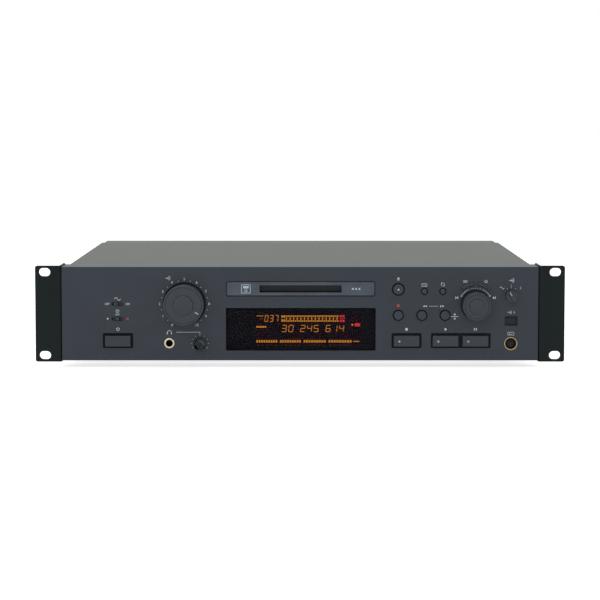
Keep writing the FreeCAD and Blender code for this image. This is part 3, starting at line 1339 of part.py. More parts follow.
def transformer():
    """The mains transformer: a laminated core, its coil and its foot."""
    z0 = PAN_FLOOR
    half_w, half_l = CORE_W / 2, CORE_L / 2
    core = block(CORE_X - half_w, CORE_X + half_w, CORE_DEPTH - half_l, CORE_DEPTH + half_l,
                 z0 + CORE_FOOT_T, z0 + CORE_H)
    coil_size = (CORE_W - 2 * COIL_DROP, CORE_H - 2 * COIL_DROP)
    coil = rounded((CORE_X, z0 + CORE_H / 2), coil_size, COIL_DROP / 2,
                   CORE_DEPTH - half_l - COIL_OVER, CORE_DEPTH + half_l + COIL_OVER)
    foot = block(CORE_X - half_w - CORE_FOOT_OVER, CORE_X + half_w + CORE_FOOT_OVER,
                 CORE_DEPTH - half_l, CORE_DEPTH + half_l, z0, z0 + CORE_FOOT_T)
    return fused([core, coil, foot])


def inlet_cavity():
    """The hollow of the mains inlet, with its two upper corners cut off."""
    x, z = INLET_AT
    half_w, half_h = INLET_CAVITY_W / 2, INLET_CAVITY_H / 2
    cut = INLET_CHAMFER
    corners = [(-half_w, -half_h), (half_w, -half_h), (half_w, half_h - cut),
               (half_w - cut, half_h), (cut - half_w, half_h), (-half_w, half_h - cut)]
    end = FRONT_Y + BODY_DEPTH + INLET_FACE_T
    points = [vec(x + right, end, z + up) for right, up in corners]
    face = Part.Face(Part.makePolygon(points + points[:1]))
    return face.extrude(vec(0, -INLET_CAVITY_L, 0))


def ac_inlet():
    """The mains inlet: a flange outside, a case inside, and three blades in its cavity."""
    outer = BODY_DEPTH + INLET_FACE_T
    face = rounded(INLET_AT, (INLET_FACE_W, INLET_FACE_H), INLET_FACE_T, BODY_DEPTH, outer)
    case = pad(INLET_AT, (INLET_W, INLET_H), outer - INLET_BODY_L, BODY_DEPTH)
    shell = fused([face, case]).cut(inlet_cavity())
    floor = outer - INLET_CAVITY_L
    blades = []
    for place in (-1, 0, 1):
        up = -BLADE_DROP if place else BLADE_DROP
        at = (INLET_AT[0] + place * BLADE_SPREAD, INLET_AT[1] + up)
        blades.append(pad(at, (BLADE_T, BLADE_H), floor, floor + BLADE_L))
    return fused([shell] + blades)


def phono_socket(at):
    """A phono socket: a barrel through the rear panel and a case inside it."""
    inside = BODY_DEPTH - SHEET
    barrel = rod(at, PHONO_R, inside, BODY_DEPTH + SOCKET_REACH)
    barrel = eased(barrel, FIT_GAP * 3, BODY_DEPTH + SOCKET_REACH)
    case = pad(at, (PHONO_BASE, PHONO_BASE), inside - PHONO_BASE_L, inside)
    bore = rod(at, PHONO_BORE_R, inside - PHONO_BASE_L / 2, BODY_DEPTH + SOCKET_REACH + OVER)
    return fused([barrel, case]).cut(bore)


def all_nodes():
    """Every sub-part under the name of its node; a list holds a group of separate solids."""
    nodes = {
        "front_bezel": front_bezel(), "top_cover": top_cover(), "chassis_pan": chassis_pan(),
        "rear_panel": rear_panel(), "rack_ear_left": rack_ear(-1), "rack_ear_right": rack_ear(1),
        "feet": feet(), "case_screws": case_screws(), "ear_screws": ear_screws(),
        "slot_frame": slot_frame(), "slot_door": slot_door(),
        "display_window": display_window(), "display_tube": display_tube(),
        "front_board": front_board(), "power_switch": power_switch(),
        "key_switches": [push_switch(at) for at in switch_places()],
        "slide_switches": slide_switches(),
        "input_pot": input_pot(), "phones_pot": small_control(PHONES_AT, PHONES_POT_SIDE),
        "selector_switch": small_control(SELECTOR_AT, SELECTOR_POT_SIDE),
        "jog_encoder": jog_encoder(), "jog_rotor": jog_rotor(),
        "input_knob": knob(INPUT_AT, INPUT_KNOB_R, INPUT_KNOB_REACH, INPUT_HUB_R,
                           INPUT_HUB_RISE, SHAFT_R),
        "input_shaft": shaft(INPUT_AT, INPUT_KNOB_REACH, INPUT_HUB_RISE, shaft_end()),
        "jog_knob": knob(JOG_AT, JOG_KNOB_R, JOG_REACH, JOG_HUB_R, JOG_HUB_RISE, SHAFT_R),
        "jog_shaft": shaft(JOG_AT, JOG_REACH, JOG_HUB_RISE, shaft_end() - JOG_TRAVEL),
        "phones_knob": phones_knob(), "selector_knob": selector_knob(),
        "pitch_slider": slider(PITCH_AT, -SLIDER_TRAVEL / 2), "timer_slider": slider(TIMER_AT, 0),
        "phones_jack": phones_jack(), "phones_jack_nut": phones_jack_nut(),
        "optical_in_socket": optical_in_socket(), "optical_shutter": optical_shutter(),
        "keyboard_socket": keyboard_socket(),
        "mech_deck": mech_deck(), "cartridge_holder": cartridge_holder(),
        "sled_rails": sled_rails(), "pickup_sled": pickup_sled(), "head_arm": head_arm(),
        "lead_screw": lead_screw(), "sled_motor": sled_motor(),
        "disc_motor": disc_motor(), "turntable": turntable(),
        "main_board": main_board(), "transformer": transformer(), "ac_inlet": ac_inlet(),
        "phono_sockets": [phono_socket(at) for at in phono_places()],
    }
    for name, (at, size, travel) in rect_keys().items():
        nodes[name] = rect_key(at, size, travel)
    for name, (at, radius, ring, proud) in round_keys().items():
        nodes[name] = round_key(at, radius, proud)
    for name, angles in arc_keys().items():
        nodes[name] = arc_key(angles)
    return nodes


def main():
    os.makedirs("parts", exist_ok=True)
    for name, shape in all_nodes().items():
        if isinstance(shape, list):
            shape = Part.makeCompound(shape)
        wrong = "" if shape.isValid() else " NOT VALID"
        print(name, len(shape.Solids), round(shape.Volume, 1), wrong)
        shape.exportStep(os.path.join("parts", name + ".step"))


main()
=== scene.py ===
"""Dresses a two-unit rack-mount recorder deck for small cartridge discs.

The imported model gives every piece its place. This script gives the pieces their
finishes, adds the turned and moulded pieces that show most, the printing on the
panel and the lit display, and sets a plain studio round them. Metres, +Z up.
"""
import logging
import math
from dataclasses import dataclass, field
from enum import Enum
from typing import Iterable, Optional

import bmesh
import bpy
from mathutils import Matrix, Vector
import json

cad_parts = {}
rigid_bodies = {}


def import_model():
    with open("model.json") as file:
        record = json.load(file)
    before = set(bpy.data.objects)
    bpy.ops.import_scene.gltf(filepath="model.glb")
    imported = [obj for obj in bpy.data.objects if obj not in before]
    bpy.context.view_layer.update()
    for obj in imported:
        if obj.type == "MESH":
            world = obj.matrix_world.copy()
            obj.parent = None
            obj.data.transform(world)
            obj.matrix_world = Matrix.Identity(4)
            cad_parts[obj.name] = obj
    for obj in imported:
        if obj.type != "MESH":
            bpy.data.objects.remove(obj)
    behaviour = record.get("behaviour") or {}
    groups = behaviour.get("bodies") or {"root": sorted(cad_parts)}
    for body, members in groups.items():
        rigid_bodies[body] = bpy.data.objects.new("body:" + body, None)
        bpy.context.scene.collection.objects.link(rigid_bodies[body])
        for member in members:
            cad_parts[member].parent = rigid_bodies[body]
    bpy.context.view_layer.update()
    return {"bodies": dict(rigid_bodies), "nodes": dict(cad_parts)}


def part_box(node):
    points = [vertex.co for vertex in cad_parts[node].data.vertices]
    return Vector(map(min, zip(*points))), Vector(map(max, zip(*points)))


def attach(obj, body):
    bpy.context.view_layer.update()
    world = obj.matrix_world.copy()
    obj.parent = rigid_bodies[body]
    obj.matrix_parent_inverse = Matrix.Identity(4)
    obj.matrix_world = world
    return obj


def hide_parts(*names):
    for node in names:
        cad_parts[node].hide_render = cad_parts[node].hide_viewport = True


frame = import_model()

MM = 0.001
LOG = logging.getLogger("deck")


def linear(code: str) -> tuple[float, float, float, float]:
    """Turns an sRGB hex colour into the linear colour that a shader takes.

    Args:
        code: Six hex digits, such as "3a3f45".

    Returns:
        Red, green, blue and an alpha of one.
    """
    parts = []
    for index in (0, 2, 4):
        value = int(code[index:index + 2], 16) / 255
        parts.append(value / 12.92 if value <= 0.04045 else ((value + 0.055) / 1.055) ** 2.4)
    return (parts[0], parts[1], parts[2], 1.0)


def add_node(tree: bpy.types.NodeTree, kind: str, settings: Optional[dict] = None,
             links: Optional[dict] = None) -> bpy.types.Node:
    """Adds one node, sets its properties and input values and links its inputs.

    Args:
        tree: The node tree that gets the node.
        kind: The node's type name without its ShaderNode prefix.
        settings: Values by property name, or by input name or number.
        links: Output sockets by the name or number of the input that they feed.

    Returns:
        The new node.
    """
    made = tree.nodes.new("ShaderNode" + kind)
    for key, value in (settings or {}).items():
        if isinstance(key, str) and hasattr(made, key):
            setattr(made, key, value)
        else:
            made.inputs[key].default_value = value
    for key, socket in (links or {}).items():
        tree.links.new(socket, made.inputs[key])
    return made


class Axis(Enum):
    """A direction along which a surface was brushed or drawn."""

    X = 0
    Y = 1
    Z = 2


def grain(tree: bpy.types.NodeTree, size_mm: float, detail: float = 2.0,
          stretch: Optional[Axis] = None, stretch_by: float = 12.0) -> bpy.types.NodeSocket:
    """A noise pattern whose grains have a real size.

    Args:
        tree: The material's node tree.
        size_mm: The distance from one grain to the next, in millimetres.
        detail: How many finer layers the noise holds.
        stretch: The direction in which brushed lines run, if any.
        stretch_by: How many times longer the lines are than they are wide.

    Returns:
        The noise's value socket.
    """
    coords = add_node(tree, "TexCoord")
    scale = [1.0, 1.0, 1.0]
    if stretch is not None:
        scale[stretch.value] = 1.0 / stretch_by
    mapping = add_node(tree, "Mapping", {"Scale": scale}, {"Vector": coords.outputs["Object"]})
    noise = add_node(tree, "TexNoise", {"Scale": 1.0 / (size_mm * MM), "Detail": detail},
                     {"Vector": mapping.outputs["Vector"]})
    return noise.outputs["Fac"]


def spread(tree: bpy.types.NodeTree, value: bpy.types.NodeSocket, low: float, high: float,
           source: tuple[float, float] = (0.3, 0.7)) -> bpy.types.NodeSocket:
    """Maps a value from its own range, the source, onto the one from low to high."""
    made = add_node(tree, "MapRange", {"From Min": source[0], "From Max": source[1],
                                       "To Min": low, "To Max": high}, {"Value": value})
    return made.outputs["Result"]


def shade(tree: bpy.types.NodeTree, value: bpy.types.NodeSocket, dark: str,
          light: str) -> bpy.types.NodeSocket:
    """A colour that runs from one to the other with a pattern's value.

    Args:
        tree: The material's node tree.
        value: The pattern.
        dark: Hex colour where the pattern is low.
        light: Hex colour where it is high.

    Returns:
        The colour's socket.
    """
    ramp = add_node(tree, "ValToRGB", links={"Fac": value})
    ramp.color_ramp.elements[0].position = 0.3
    ramp.color_ramp.elements[0].color = linear(dark)
    ramp.color_ramp.elements[1].position = 0.7
    ramp.color_ramp.elements[1].color = linear(light)
    return ramp.outputs["Color"]


def bump(tree: bpy.types.NodeTree, height: bpy.types.NodeSocket,
         depth_mm: float) -> bpy.types.NodeSocket:
    """The normals of a pattern that stands out by a real depth, in millimetres."""
    made = add_node(tree, "Bump", {"Strength": 1.0, "Distance": depth_mm * MM},
                    {"Height": height})
    return made.outputs["Normal"]


def new_material(name: str) -> tuple[bpy.types.Material, bpy.types.NodeTree, bpy.types.Node]:
    """Makes an empty material with one Principled shader.

    Args:
        name: The material's name.

    Returns:
        The material, its node tree and its shader.
    """
    material = bpy.data.materials.new(name)
    material.use_nodes = True
    tree = material.node_tree
    tree.nodes.clear()
    shader = add_node(tree, "BsdfPrincipled")
    add_node(tree, "OutputMaterial", links={"Surface": shader.outputs["BSDF"]})
    return material, tree, shader


def feed(shader: bpy.types.Node, values: dict) -> None:
    """Gives a shader's inputs their values, or links sockets to them.

    Args:
        shader: The shader.
        values: Values or output sockets by the name of the input.
    """
    for name, value in values.items():
        if isinstance(value, bpy.types.NodeSocket):
            shader.id_data.links.new(value, shader.inputs[name])
        else:
            shader.inputs[name].default_value = value


@dataclass(frozen=True)
class Coating:
    """A painted or moulded surface: two near colours, a fine texture and a satin gloss.

    Attributes:
        name: The finish's name.
        dark: Hex colour of the darker patches of a broad cloud pattern, about 60 mm across.
        light: Hex colour of its lighter patches.
        roughness: The mean roughness.
        grain_mm: The texture's spacing.
        depth_mm: The texture's height.
        gloss: The specular level, 0.5 for an IOR of 1.5.
        ior: The index of refraction of the resin.
        wear: How much lighter rubbed edges are, from 0 to 1.
    """

    name: str
    dark: str
    light: str
    roughness: float
    grain_mm: float
    depth_mm: float
    gloss: float = 0.5
    ior: float = 1.5
    wear: float = 0.0

    def make(self) -> bpy.types.Material:
        """Builds the material."""
        material, tree, shader = new_material(self.name)
        fine = grain(tree, self.grain_mm, detail=3.0)
        cloud = grain(tree, 60.0, detail=2.0)
        colour = shade(tree, cloud, self.dark, self.light)
        if self.wear > 0:
            colour = self.rubbed(tree, colour)
        rough = spread(tree, fine, self.roughness - 0.05, self.roughness + 0.05)
        feed(shader, {"Base Color": colour, "Roughness": rough, "IOR": self.ior,
                      "Normal": bump(tree, fine, self.depth_mm),
                      "Specular IOR Level": self.gloss})
        return material

    def rubbed(self, tree: bpy.types.NodeTree,
               colour: bpy.types.NodeSocket) -> bpy.types.NodeSocket:
        """Lightens sharp convex edges a little, where hands and cloths rub them.

        Args:
            tree: The material's node tree.
            colour: The colour away from the edges.

        Returns:
            The colour with its rubbed edges.
        """
        geometry = add_node(tree, "NewGeometry")
        edge = spread(tree, geometry.outputs["Pointiness"], 0.0, self.wear, (0.52, 0.62))
        mix = add_node(tree, "MixRGB", {"Color2": linear(self.light)},
                       {"Fac": edge, "Color1": colour})
        lift = add_node(tree, "HueSaturation", {"Value": 1.25}, {"Color": mix.outputs["Color"]})
        blend = add_node(tree, "MixRGB", links={"Fac": edge, "Color1": colour,
                                                "Color2": lift.outputs["Color"]})
        return blend.outputs["Color"]


@dataclass(frozen=True)
class Metal:
    """A bare or plated metal with fine brushed, drawn or turned lines.

    Attributes:
        name: The finish's name.
        dark: Hex colour of the duller stretches.
        light: Hex colour of the brighter ones.
        roughness: The mean roughness.
        line_mm: The spacing of the lines.
        along: The direction in which the lines run, or None for a blasted surface.
        depth_mm: The depth of the lines.
    """

    name: str
    dark: str
    light: str
    roughness: float
    line_mm: float
    along: Optional[Axis] = None
    depth_mm: float = 0.004

    def make(self) -> bpy.types.Material:
        """Builds the material."""
        material, tree, shader = new_material(self.name)
        lines = grain(tree, self.line_mm, detail=2.0, stretch=self.along, stretch_by=20.0)
        cloud = grain(tree, 18.0, detail=3.0)
        rough = spread(tree, lines, self.roughness - 0.06, self.roughness + 0.08)
        feed(shader, {"Base Color": shade(tree, cloud, self.dark, self.light), "Metallic": 1.0,
                      "Roughness": rough, "Normal": bump(tree, lines, self.depth_mm)})
        return material


@dataclass(frozen=True)
class Glow:
    """A lit phosphor or a lamp: it shines by itself, with the tube's fine mesh over it.

    Attributes:
        name: The finish's name.
        colour: Hex colour of the light.
        strength: How bright it is; 1 shows the colour as written.
        mesh_mm: The spacing of the control mesh in front of the phosphor.
    """

    name: str
    colour: str
    strength: float
    mesh_mm: float = 0.6

    def make(self) -> bpy.types.Material:
        """Builds the material."""
        material, tree, shader = new_material(self.name)
        fine = grain(tree, self.mesh_mm, detail=1.0)
        level = spread(tree, fine, self.strength * 0.72, self.strength * 1.15)
        feed(shader, {"Emission Strength": level, "Emission Color": linear(self.colour),
                      "Base Color": linear("120c08"), "Roughness": 0.4})
        return material


@dataclass(frozen=True)
class Ink:
    """Screen-printed ink: flat colour, slightly uneven, a little glossier than the paint.

    Attributes:
        name: The finish's name.
        colour: Hex colour of full ink.
        thin: Hex colour where the ink is thin.
    """

    name: str
    colour: str
    thin: str

    def make(self) -> bpy.types.Material:
        """Builds the material."""
        material, tree, shader = new_material(self.name)
        uneven = grain(tree, 1.2, detail=2.0)
        feed(shader, {"Base Color": shade(tree, uneven, self.thin, self.colour),
                      "Roughness": 0.5})
        return material


# Folded steel with a fine-textured powder coat: matt, slightly sparkling under raking light.
# The real grain is about 0.3 mm; it is drawn at 0.9 mm so that it shows from a step away.
COVER_COAT = Coating("cover_powder_coat", "30372f", "343b33", 0.50, 0.9, 0.05, gloss=0.42)
# The panel's moulding with a smooth satin paint of dark blue-grey, grain about 0.25 mm.
PANEL_COAT = Coating("panel_satin_paint", "2d333b", "30363e", 0.44, 0.7, 0.012, gloss=0.25,
                     wear=0.35)
# Black satin stoving enamel on the folded ears.
EAR_COAT = Coating("ear_satin_enamel", "0b1314", "0f1718", 0.40, 0.8, 0.012, gloss=0.12,
                   wear=0.45)
# Smooth dark enamel of the rear panel.
REAR_COAT = Coating("rear_satin_enamel", "2d332d", "323832", 0.45, 0.8, 0.012, gloss=0.42,
                    wear=0.3)
# Spark-eroded ABS of the keys: satin, a touch greener than the panel.
KEY_ABS = Coating("key_satin_abs", "2a3038", "30363e", 0.38, 0.5, 0.010, gloss=0.3, wear=0.8)
# Satin ABS of the knobs, a little smoother than the keys.
KNOB_ABS = Coating("knob_satin_abs", "282e35", "2d333a", 0.34, 0.5, 0.008, gloss=0.35,
                   wear=0.8)
# Painted shade: a dead black sheet on the floors of the gaps round keys and knobs, standing for the
# shadow in them.
RECESS_SHADE_SHEET = Coating("recess_shade_black", "1c2126", "242a30", 0.9, 0.6, 0.03, gloss=0.05)
# Dull black ABS and nylon of sockets and switches.
SOCKET_ABS = Coating("socket_black_nylon", "0e0f11", "141517", 0.48, 0.6, 0.01, gloss=0.2)
# The door's dark smooth ABS.
DOOR_ABS = Coating("door_dark_abs", "151a20", "1a1f26", 0.36, 0.6, 0.008, gloss=0.2)
# White acetal of the turntable.
HUB_ACETAL = Coating("turntable_acetal", "c8c8c0", "d6d6cf", 0.40, 0.8, 0.01)
# Glass-epoxy board under green solder mask; its weave is 0.5 mm, drawn at 1 mm.
BOARD_MASK = Coating("solder_mask", "1d4a2c", "265a37", 0.30, 1.0, 0.02)
# Moulded rubber of the feet, matt.
FOOT_RUBBER = Coating("foot_rubber", "151516", "1d1d1e", 0.72, 0.9, 0.03, gloss=0.4, ior=1.52)
# Varnished core stampings.
CORE_VARNISH = Coating("core_varnish", "2c2722", "3d352c", 0.42, 0.5, 0.06)
# Black oxide of the screws: an oiled dark film.
SCREW_OXIDE = Coating("screw_black_oxide", "1a1a1b", "262627", 0.34, 0.4, 0.01, gloss=0.7)
# The slot frame: dark anodised aluminium, brushed along X with lines every 0.3 mm.
FRAME_ANODISED = Metal("slot_frame_anodised", "40454c", "4b5159", 0.40, 0.35, Axis.X, 0.006)
# Zinc-plated sheet steel: bright grey with a cloudy spangle.
ZINC_SHEET = Metal("zinc_plated_sheet", "a9abad", "c3c5c7", 0.38, 0.6)
# Ground shaft and rail steel.
SHAFT_STEEL = Metal("ground_shaft_steel", "b4b4b4", "cfcfcf", 0.24, 0.3, Axis.Y)
# Drawn steel motor cans.
MOTOR_CAN = Metal("drawn_motor_can", "9fa0a2", "b6b7b9", 0.32, 0.5, Axis.Z)
# Nickel plate of the phones nut, yellowed by the warm light it mirrors.
SOCKET_NICKEL = Metal("socket_nickel_plate", "a39a80", "c6bda0", 0.28, 0.4)
# Gold flash on the keyboard socket's ring.
RING_GOLD = Metal("ring_gold_flash", "94835c", "b3a077", 0.30, 0.4)
# Dark glass of the display tube outside its lit area.
TUBE_DARK = Coating("tube_dark_glass", "0c0b0e", "121016", 0.15, 1.0, 0.002, gloss=0.1)
# Polypropylene collars that mark the phono sockets.
COLLAR_WHITE = Coating("phono_collars_white", "d9d9d4", "e4e4e0", 0.4, 0.8, 0.01)
COLLAR_RED = Coating("phono_collars_red", "9c1f1c", "ad2a24", 0.4, 0.8, 0.01)
# Screen inks.
WHITE_INK = Ink("white_screen_ink", "d6dade", "bac0c6")
PALE_INK = Ink("pale_blue_screen_ink", "b4c6d6", "9fb3c4")
RED_INK = Ink("red_screen_ink", "c2412c", "a8351f")
# Phosphors of the display behind its filters.
AMBER = Glow("amber_phosphor", "f09a26", 1.75)
AMBER_DIM = Glow("amber_phosphor_dim", "b06a22", 1.0)
RED_GLOW = Glow("red_phosphor", "f03040", 1.7)


@dataclass(frozen=True)
class SmokedAcrylic:
    """The display window: cast acrylic, nearly black, polished, with faint swirls.

    Attributes:
        name: The finish's name.
        colour: Hex colour of the tint as it looks over the dark tube.
        light: Hex colour in the lighter swirls, which are about 25 mm across.
        cover: How much of what lies behind it is held back.
        glare: The specular level; at zero the white sky doesn't sparkle in the window.
    """

    name: str = "smoked_acrylic"
    colour: str = "1a1920"
    light: str = "1e1d24"
    cover: float = 0.42
    glare: float = 0.0

    def make(self) -> bpy.types.Material:
        """Builds the material."""
        material, tree, shader = new_material(self.name)
        swirl = grain(tree, 25.0, detail=1.0)
        feed(shader, {"Base Color": shade(tree, swirl, self.colour, self.light), "IOR": 1.49,
                      "Roughness": spread(tree, swirl, 0.05, 0.12), "Alpha": self.cover,
                      "Specular IOR Level": self.glare})
        return material


@dataclass(frozen=True)
class GridGlass:
    """The lit part of the tube: dark glass with the brown-red glimmer of its unlit dots.

    Attributes:
        name: The finish's name.
        ground: Hex colour between the dots.
        glimmer: Hex colour of the unlit dots.
        pitch_mm: The distance from dot to dot.
        shine: How brightly ground and dots glow by themselves.
    """

    name: str = "tube_grid_glass"
    ground: str = "22131a"
    glimmer: str = "7c3128"
    pitch_mm: float = 1.15
    shine: float = 2.6

    def make(self) -> bpy.types.Material:
        """Builds the material."""
        material, tree, shader = new_material(self.name)
        coords = add_node(tree, "TexCoord")
        mapping = add_node(tree, "Mapping", {"Scale": (1.0, 0.0, 1.0)},
                           {"Vector": coords.outputs["Object"]})
        dots = add_node(tree, "TexVoronoi", {"Scale": 1.0 / (self.pitch_mm * MM),
                                             "Randomness": 0.0},
                        {"Vector": mapping.outputs["Vector"]})
        value = spread(tree, dots.outputs["Distance"], 1.0, 0.0, (0.1, 0.5))
        patch = grain(tree, 9.0, detail=1.0)
        both = add_node(tree, "Math", {"operation": "MULTIPLY"}, {0: value, 1: patch})
        colour = shade(tree, both.outputs["Value"], self.ground, self.glimmer)
        feed(shader, {"Base Color": colour, "Emission Color": colour, "Roughness": 0.25,
                      "Emission Strength": self.shine, "Specular IOR Level": 0.1})
        return material


class Finishes:
    """Makes each finish's material once and hands it out."""

    def __init__(self) -> None:
        """Starts with no material made."""
        self._made: dict[str, bpy.types.Material] = {}

    def get(self, finish: object) -> bpy.types.Material:
        """Returns the material of a finish, made on its first use."""
        if finish.name not in self._made:
            self._made[finish.name] = finish.make()
        return self._made[finish.name]

    def dress(self, finish: object, nodes: Iterable[str]) -> None:
        """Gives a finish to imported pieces.

        Args:
            finish: The finish.
            nodes: The names of the pieces.
        """
        for name in nodes:
            mesh = frame["nodes"][name].data
            mesh.materials.clear()
            mesh.materials.append(self.get(finish))


FINISHES = Finishes()


def rides(node: str) -> str:
    """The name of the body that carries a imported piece."""
    holder = frame["nodes"][node].parent
    for name, body in frame["bodies"].items():
        if body == holder:
            return name
    return "root"


def publish(name: str, shape: bmesh.types.BMesh, finish: object, body: str,
            replaces: Iterable[str] = (), smooth_deg: float = 35.0,
            clean: bool = True) -> bpy.types.Object:
    """Turns a finished bmesh into a piece that rides on its body.

    Args:
        name: The piece's name.
        shape: Its mesh, in place, in metres. It is freed.
        finish: Its finish.
        body: The body that it rides on.
        replaces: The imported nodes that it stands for.
        smooth_deg: Edges sharper than this stay sharp.
        clean: Whether doubles are merged and faces turned outwards.

    Returns:
        The new object.
    """
    if clean:
        bmesh.ops.remove_doubles(shape, verts=shape.verts[:], dist=0.002 * MM)
        bmesh.ops.recalc_face_normals(shape, faces=shape.faces[:])
    limit = math.radians(smooth_deg)
    for edge in shape.edges:
        edge.smooth = len(edge.link_faces) == 2 and edge.calc_face_angle(0.0) < limit
    for face in shape.faces:
        face.smooth = True
    mesh = bpy.data.meshes.new(name)
    shape.to_mesh(mesh)
    shape.free()
    mesh.materials.append(FINISHES.get(finish))
    piece = bpy.data.objects.new(name, mesh)
    bpy.context.scene.collection.objects.link(piece)
    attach(piece, body)
    if replaces:
        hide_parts(*replaces)
    LOG.info("%s: %d faces on %s", name, len(mesh.polygons), body)
    return piece


# Thickness of printed ink with what of it lies inside the moulding, in millimetres.
INK_THICK = 0.06
# How far a mark stands over the face of a knob, a key or the slot's frame.
MARK_LIFT = 0.03


def on_circle(at: tuple[float, float], radius: float, degrees: float) -> tuple[float, float]:
    """A point of a circle; its angle runs clockwise from straight up."""
    angle = math.radians(degrees)
    return at[0] + radius * math.sin(angle), at[1] + radius * math.cos(angle)


class Draft:
    """Shapes in the panel's plane, drawn in millimetres and placed on the panel at the end.

    Drawing coordinates are x from the panel's middle, up from its middle line, and out
    from its face towards the viewer.
    """

    LOW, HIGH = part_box("front_bezel")
    FACE_Y = LOW.y
    MIDDLE_Z = (LOW.z + HIGH.z) / 2

    def __init__(self) -> None:
        """Starts an empty drawing."""
        self.shape = bmesh.new()

    @classmethod
    def at_node(cls, node: str) -> tuple[float, float]:
        """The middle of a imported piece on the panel, in drawing millimetres."""
        low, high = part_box(node)
        middle = (low + high) / 2
        return middle.x / MM, (middle.z - cls.MIDDLE_Z) / MM

    @classmethod
    def out_of(cls, node: str) -> float:
        """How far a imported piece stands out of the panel's face, in millimetres."""
        return (cls.FACE_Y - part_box(node)[0].y) / MM

    @classmethod
    def back_of(cls, node: str) -> float:
        """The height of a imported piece's back end, below zero behind the panel's face."""
        return -(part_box(node)[1].y - cls.FACE_Y) / MM

    @staticmethod
    def radius_of(node: str) -> float:
        """The radius of a packed round piece, in millimetres."""
        low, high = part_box(node)
        return (high.x - low.x) / MM / 2

    def thicken(self, faces: list[bmesh.types.BMFace], thick: float) -> None:
        """Gives flat faces of the drawing a thickness towards the panel."""
        made = bmesh.ops.extrude_face_region(self.shape, geom=faces)
        moved = [item for item in made["geom"] if isinstance(item, bmesh.types.BMVert)]
        bmesh.ops.translate(self.shape, verts=moved, vec=(0.0, 0.0, -thick))

    def polygon(self, points: Iterable[tuple[float, float]], out: float,
                thick: float = INK_THICK) -> "Draft":
        """Adds a flat plate by its corners, anticlockwise, and the height of its face."""
        corners = [self.shape.verts.new((x, up, out)) for x, up in points]
        self.thicken([self.shape.faces.new(corners)], thick)
        return self

    def bar(self, at: tuple[float, float], width: float, height: float, out: float,
            turn: float = 0.0, lean: float = 0.0, thick: float = INK_THICK) -> "Draft":
        """Adds a rectangular plate.

        Args:
            at: Its middle.
            width: Its size along x before it is turned.
            height: Its size upwards before it is turned.
            out: The height of its face over the panel.
            turn: Degrees clockwise.
            lean: How far the top leans to the right of the foot.
            thick: Its thickness.

        Returns:
            The drawing itself.
        """
        angle = math.radians(-turn)
        points = []
        for side, end in ((-1, -1), (1, -1), (1, 1), (-1, 1)):
            x = side * width / 2 + end * lean / 2
            up = end * height / 2
            points.append((at[0] + x * math.cos(angle) - up * math.sin(angle),
                           at[1] + x * math.sin(angle) + up * math.cos(angle)))
        return self.polygon(points, out, thick)

    def disc(self, at: tuple[float, float], radius: float, out: float, sides: int = 20,
             thick: float = INK_THICK, turn: float = 0.0) -> "Draft":
        """Adds a round plate, or a regular polygon of a few sides.

        Args:
            at: Its middle.
            radius: Its radius, to the corners.
            out: The height of its face over the panel.
            sides: How many sides it has.
            thick: Its thickness.
            turn: Degrees clockwise from a corner that looks up.

        Returns:
            The drawing itself.
        """
        matrix = (Matrix.Translation((at[0], at[1], out))
                  @ Matrix.Rotation(math.radians(-turn), 4, "Z"))
        made = bmesh.ops.create_circle(self.shape, cap_ends=True, segments=sides, radius=radius,
                                       matrix=matrix)
        faces = list({face for vert in made["verts"] for face in vert.link_faces})
        self.thicken(faces, thick)
        return self

    def triangle(self, at: tuple[float, float], size: float, out: float,
                 turn: float = 0.0) -> "Draft":
        """Adds a triangle whose point looks up, or clockwise from up by turn."""
        return self.disc(at, size, out, sides=3, turn=turn)

    def outline(self, at: tuple[float, float], size: tuple[float, float], line: float,
                out: float) -> "Draft":
        """Adds the outline of a rectangle.

        Args:
            at: Its middle.
            size: Its width and height, to the middles of its lines.
            line: The width of its lines.
            out: The height of its face over the panel.

        Returns:
            The drawing itself.
        """
        width, height = size
        for side in (-1, 1):
            self.bar((at[0], at[1] + side * height / 2), width, line, out)
            self.bar((at[0] + side * width / 2, at[1]), line, height, out)
        return self

    def arc(self, at: tuple[float, float], radius: float, width: float, angles: tuple[float, float],
            out: float, thick: float = INK_THICK) -> "Draft":
        """Adds a curved line. Its angles run clockwise from straight up.

        Args:
            at: The middle of its circle.
            radius: The circle's radius, to the middle of the line.
            width: The line's width.
            angles: Where it starts and ends, in degrees.
            out: The height of its face over the panel.
            thick: Its thickness.

        Returns:
            The drawing itself.
        """
        start = math.radians(angles[0])
        across = Vector((math.sin(start), math.cos(start), 0.0))
        centre = Vector((at[0], at[1], out))
        ends = [self.shape.verts.new(centre + across * (radius + side * width / 2))
                for side in (-1, 1)]
        edge = self.shape.edges.new(ends)
        sweep = math.radians(angles[1] - angles[0])
        steps = max(6, int(abs(sweep) * 10))
        made = bmesh.ops.spin(self.shape, geom=ends + [edge], cent=centre, axis=(0, 0, -1),
                              angle=sweep, steps=steps, use_merge=False, use_duplicate=False)
        seen = {vert for vert in made["geom_last"] if isinstance(vert, bmesh.types.BMVert)}
        self.thicken(self.island(seen), thick)
        return self

    @staticmethod
    def island(verts: Iterable[bmesh.types.BMVert]) -> list[bmesh.types.BMFace]:
        """Finds all faces that hang together with some vertices.

        Args:
            verts: The vertices.

        Returns:
            The faces.
        """
        found: set[bmesh.types.BMFace] = set()
        edge_of_search = {face for vert in verts for face in vert.link_faces}
        while edge_of_search:
            found |= edge_of_search
            near = {other for face in edge_of_search for vert in face.verts
                    for other in vert.link_faces}
            edge_of_search = near - found
        return list(found)

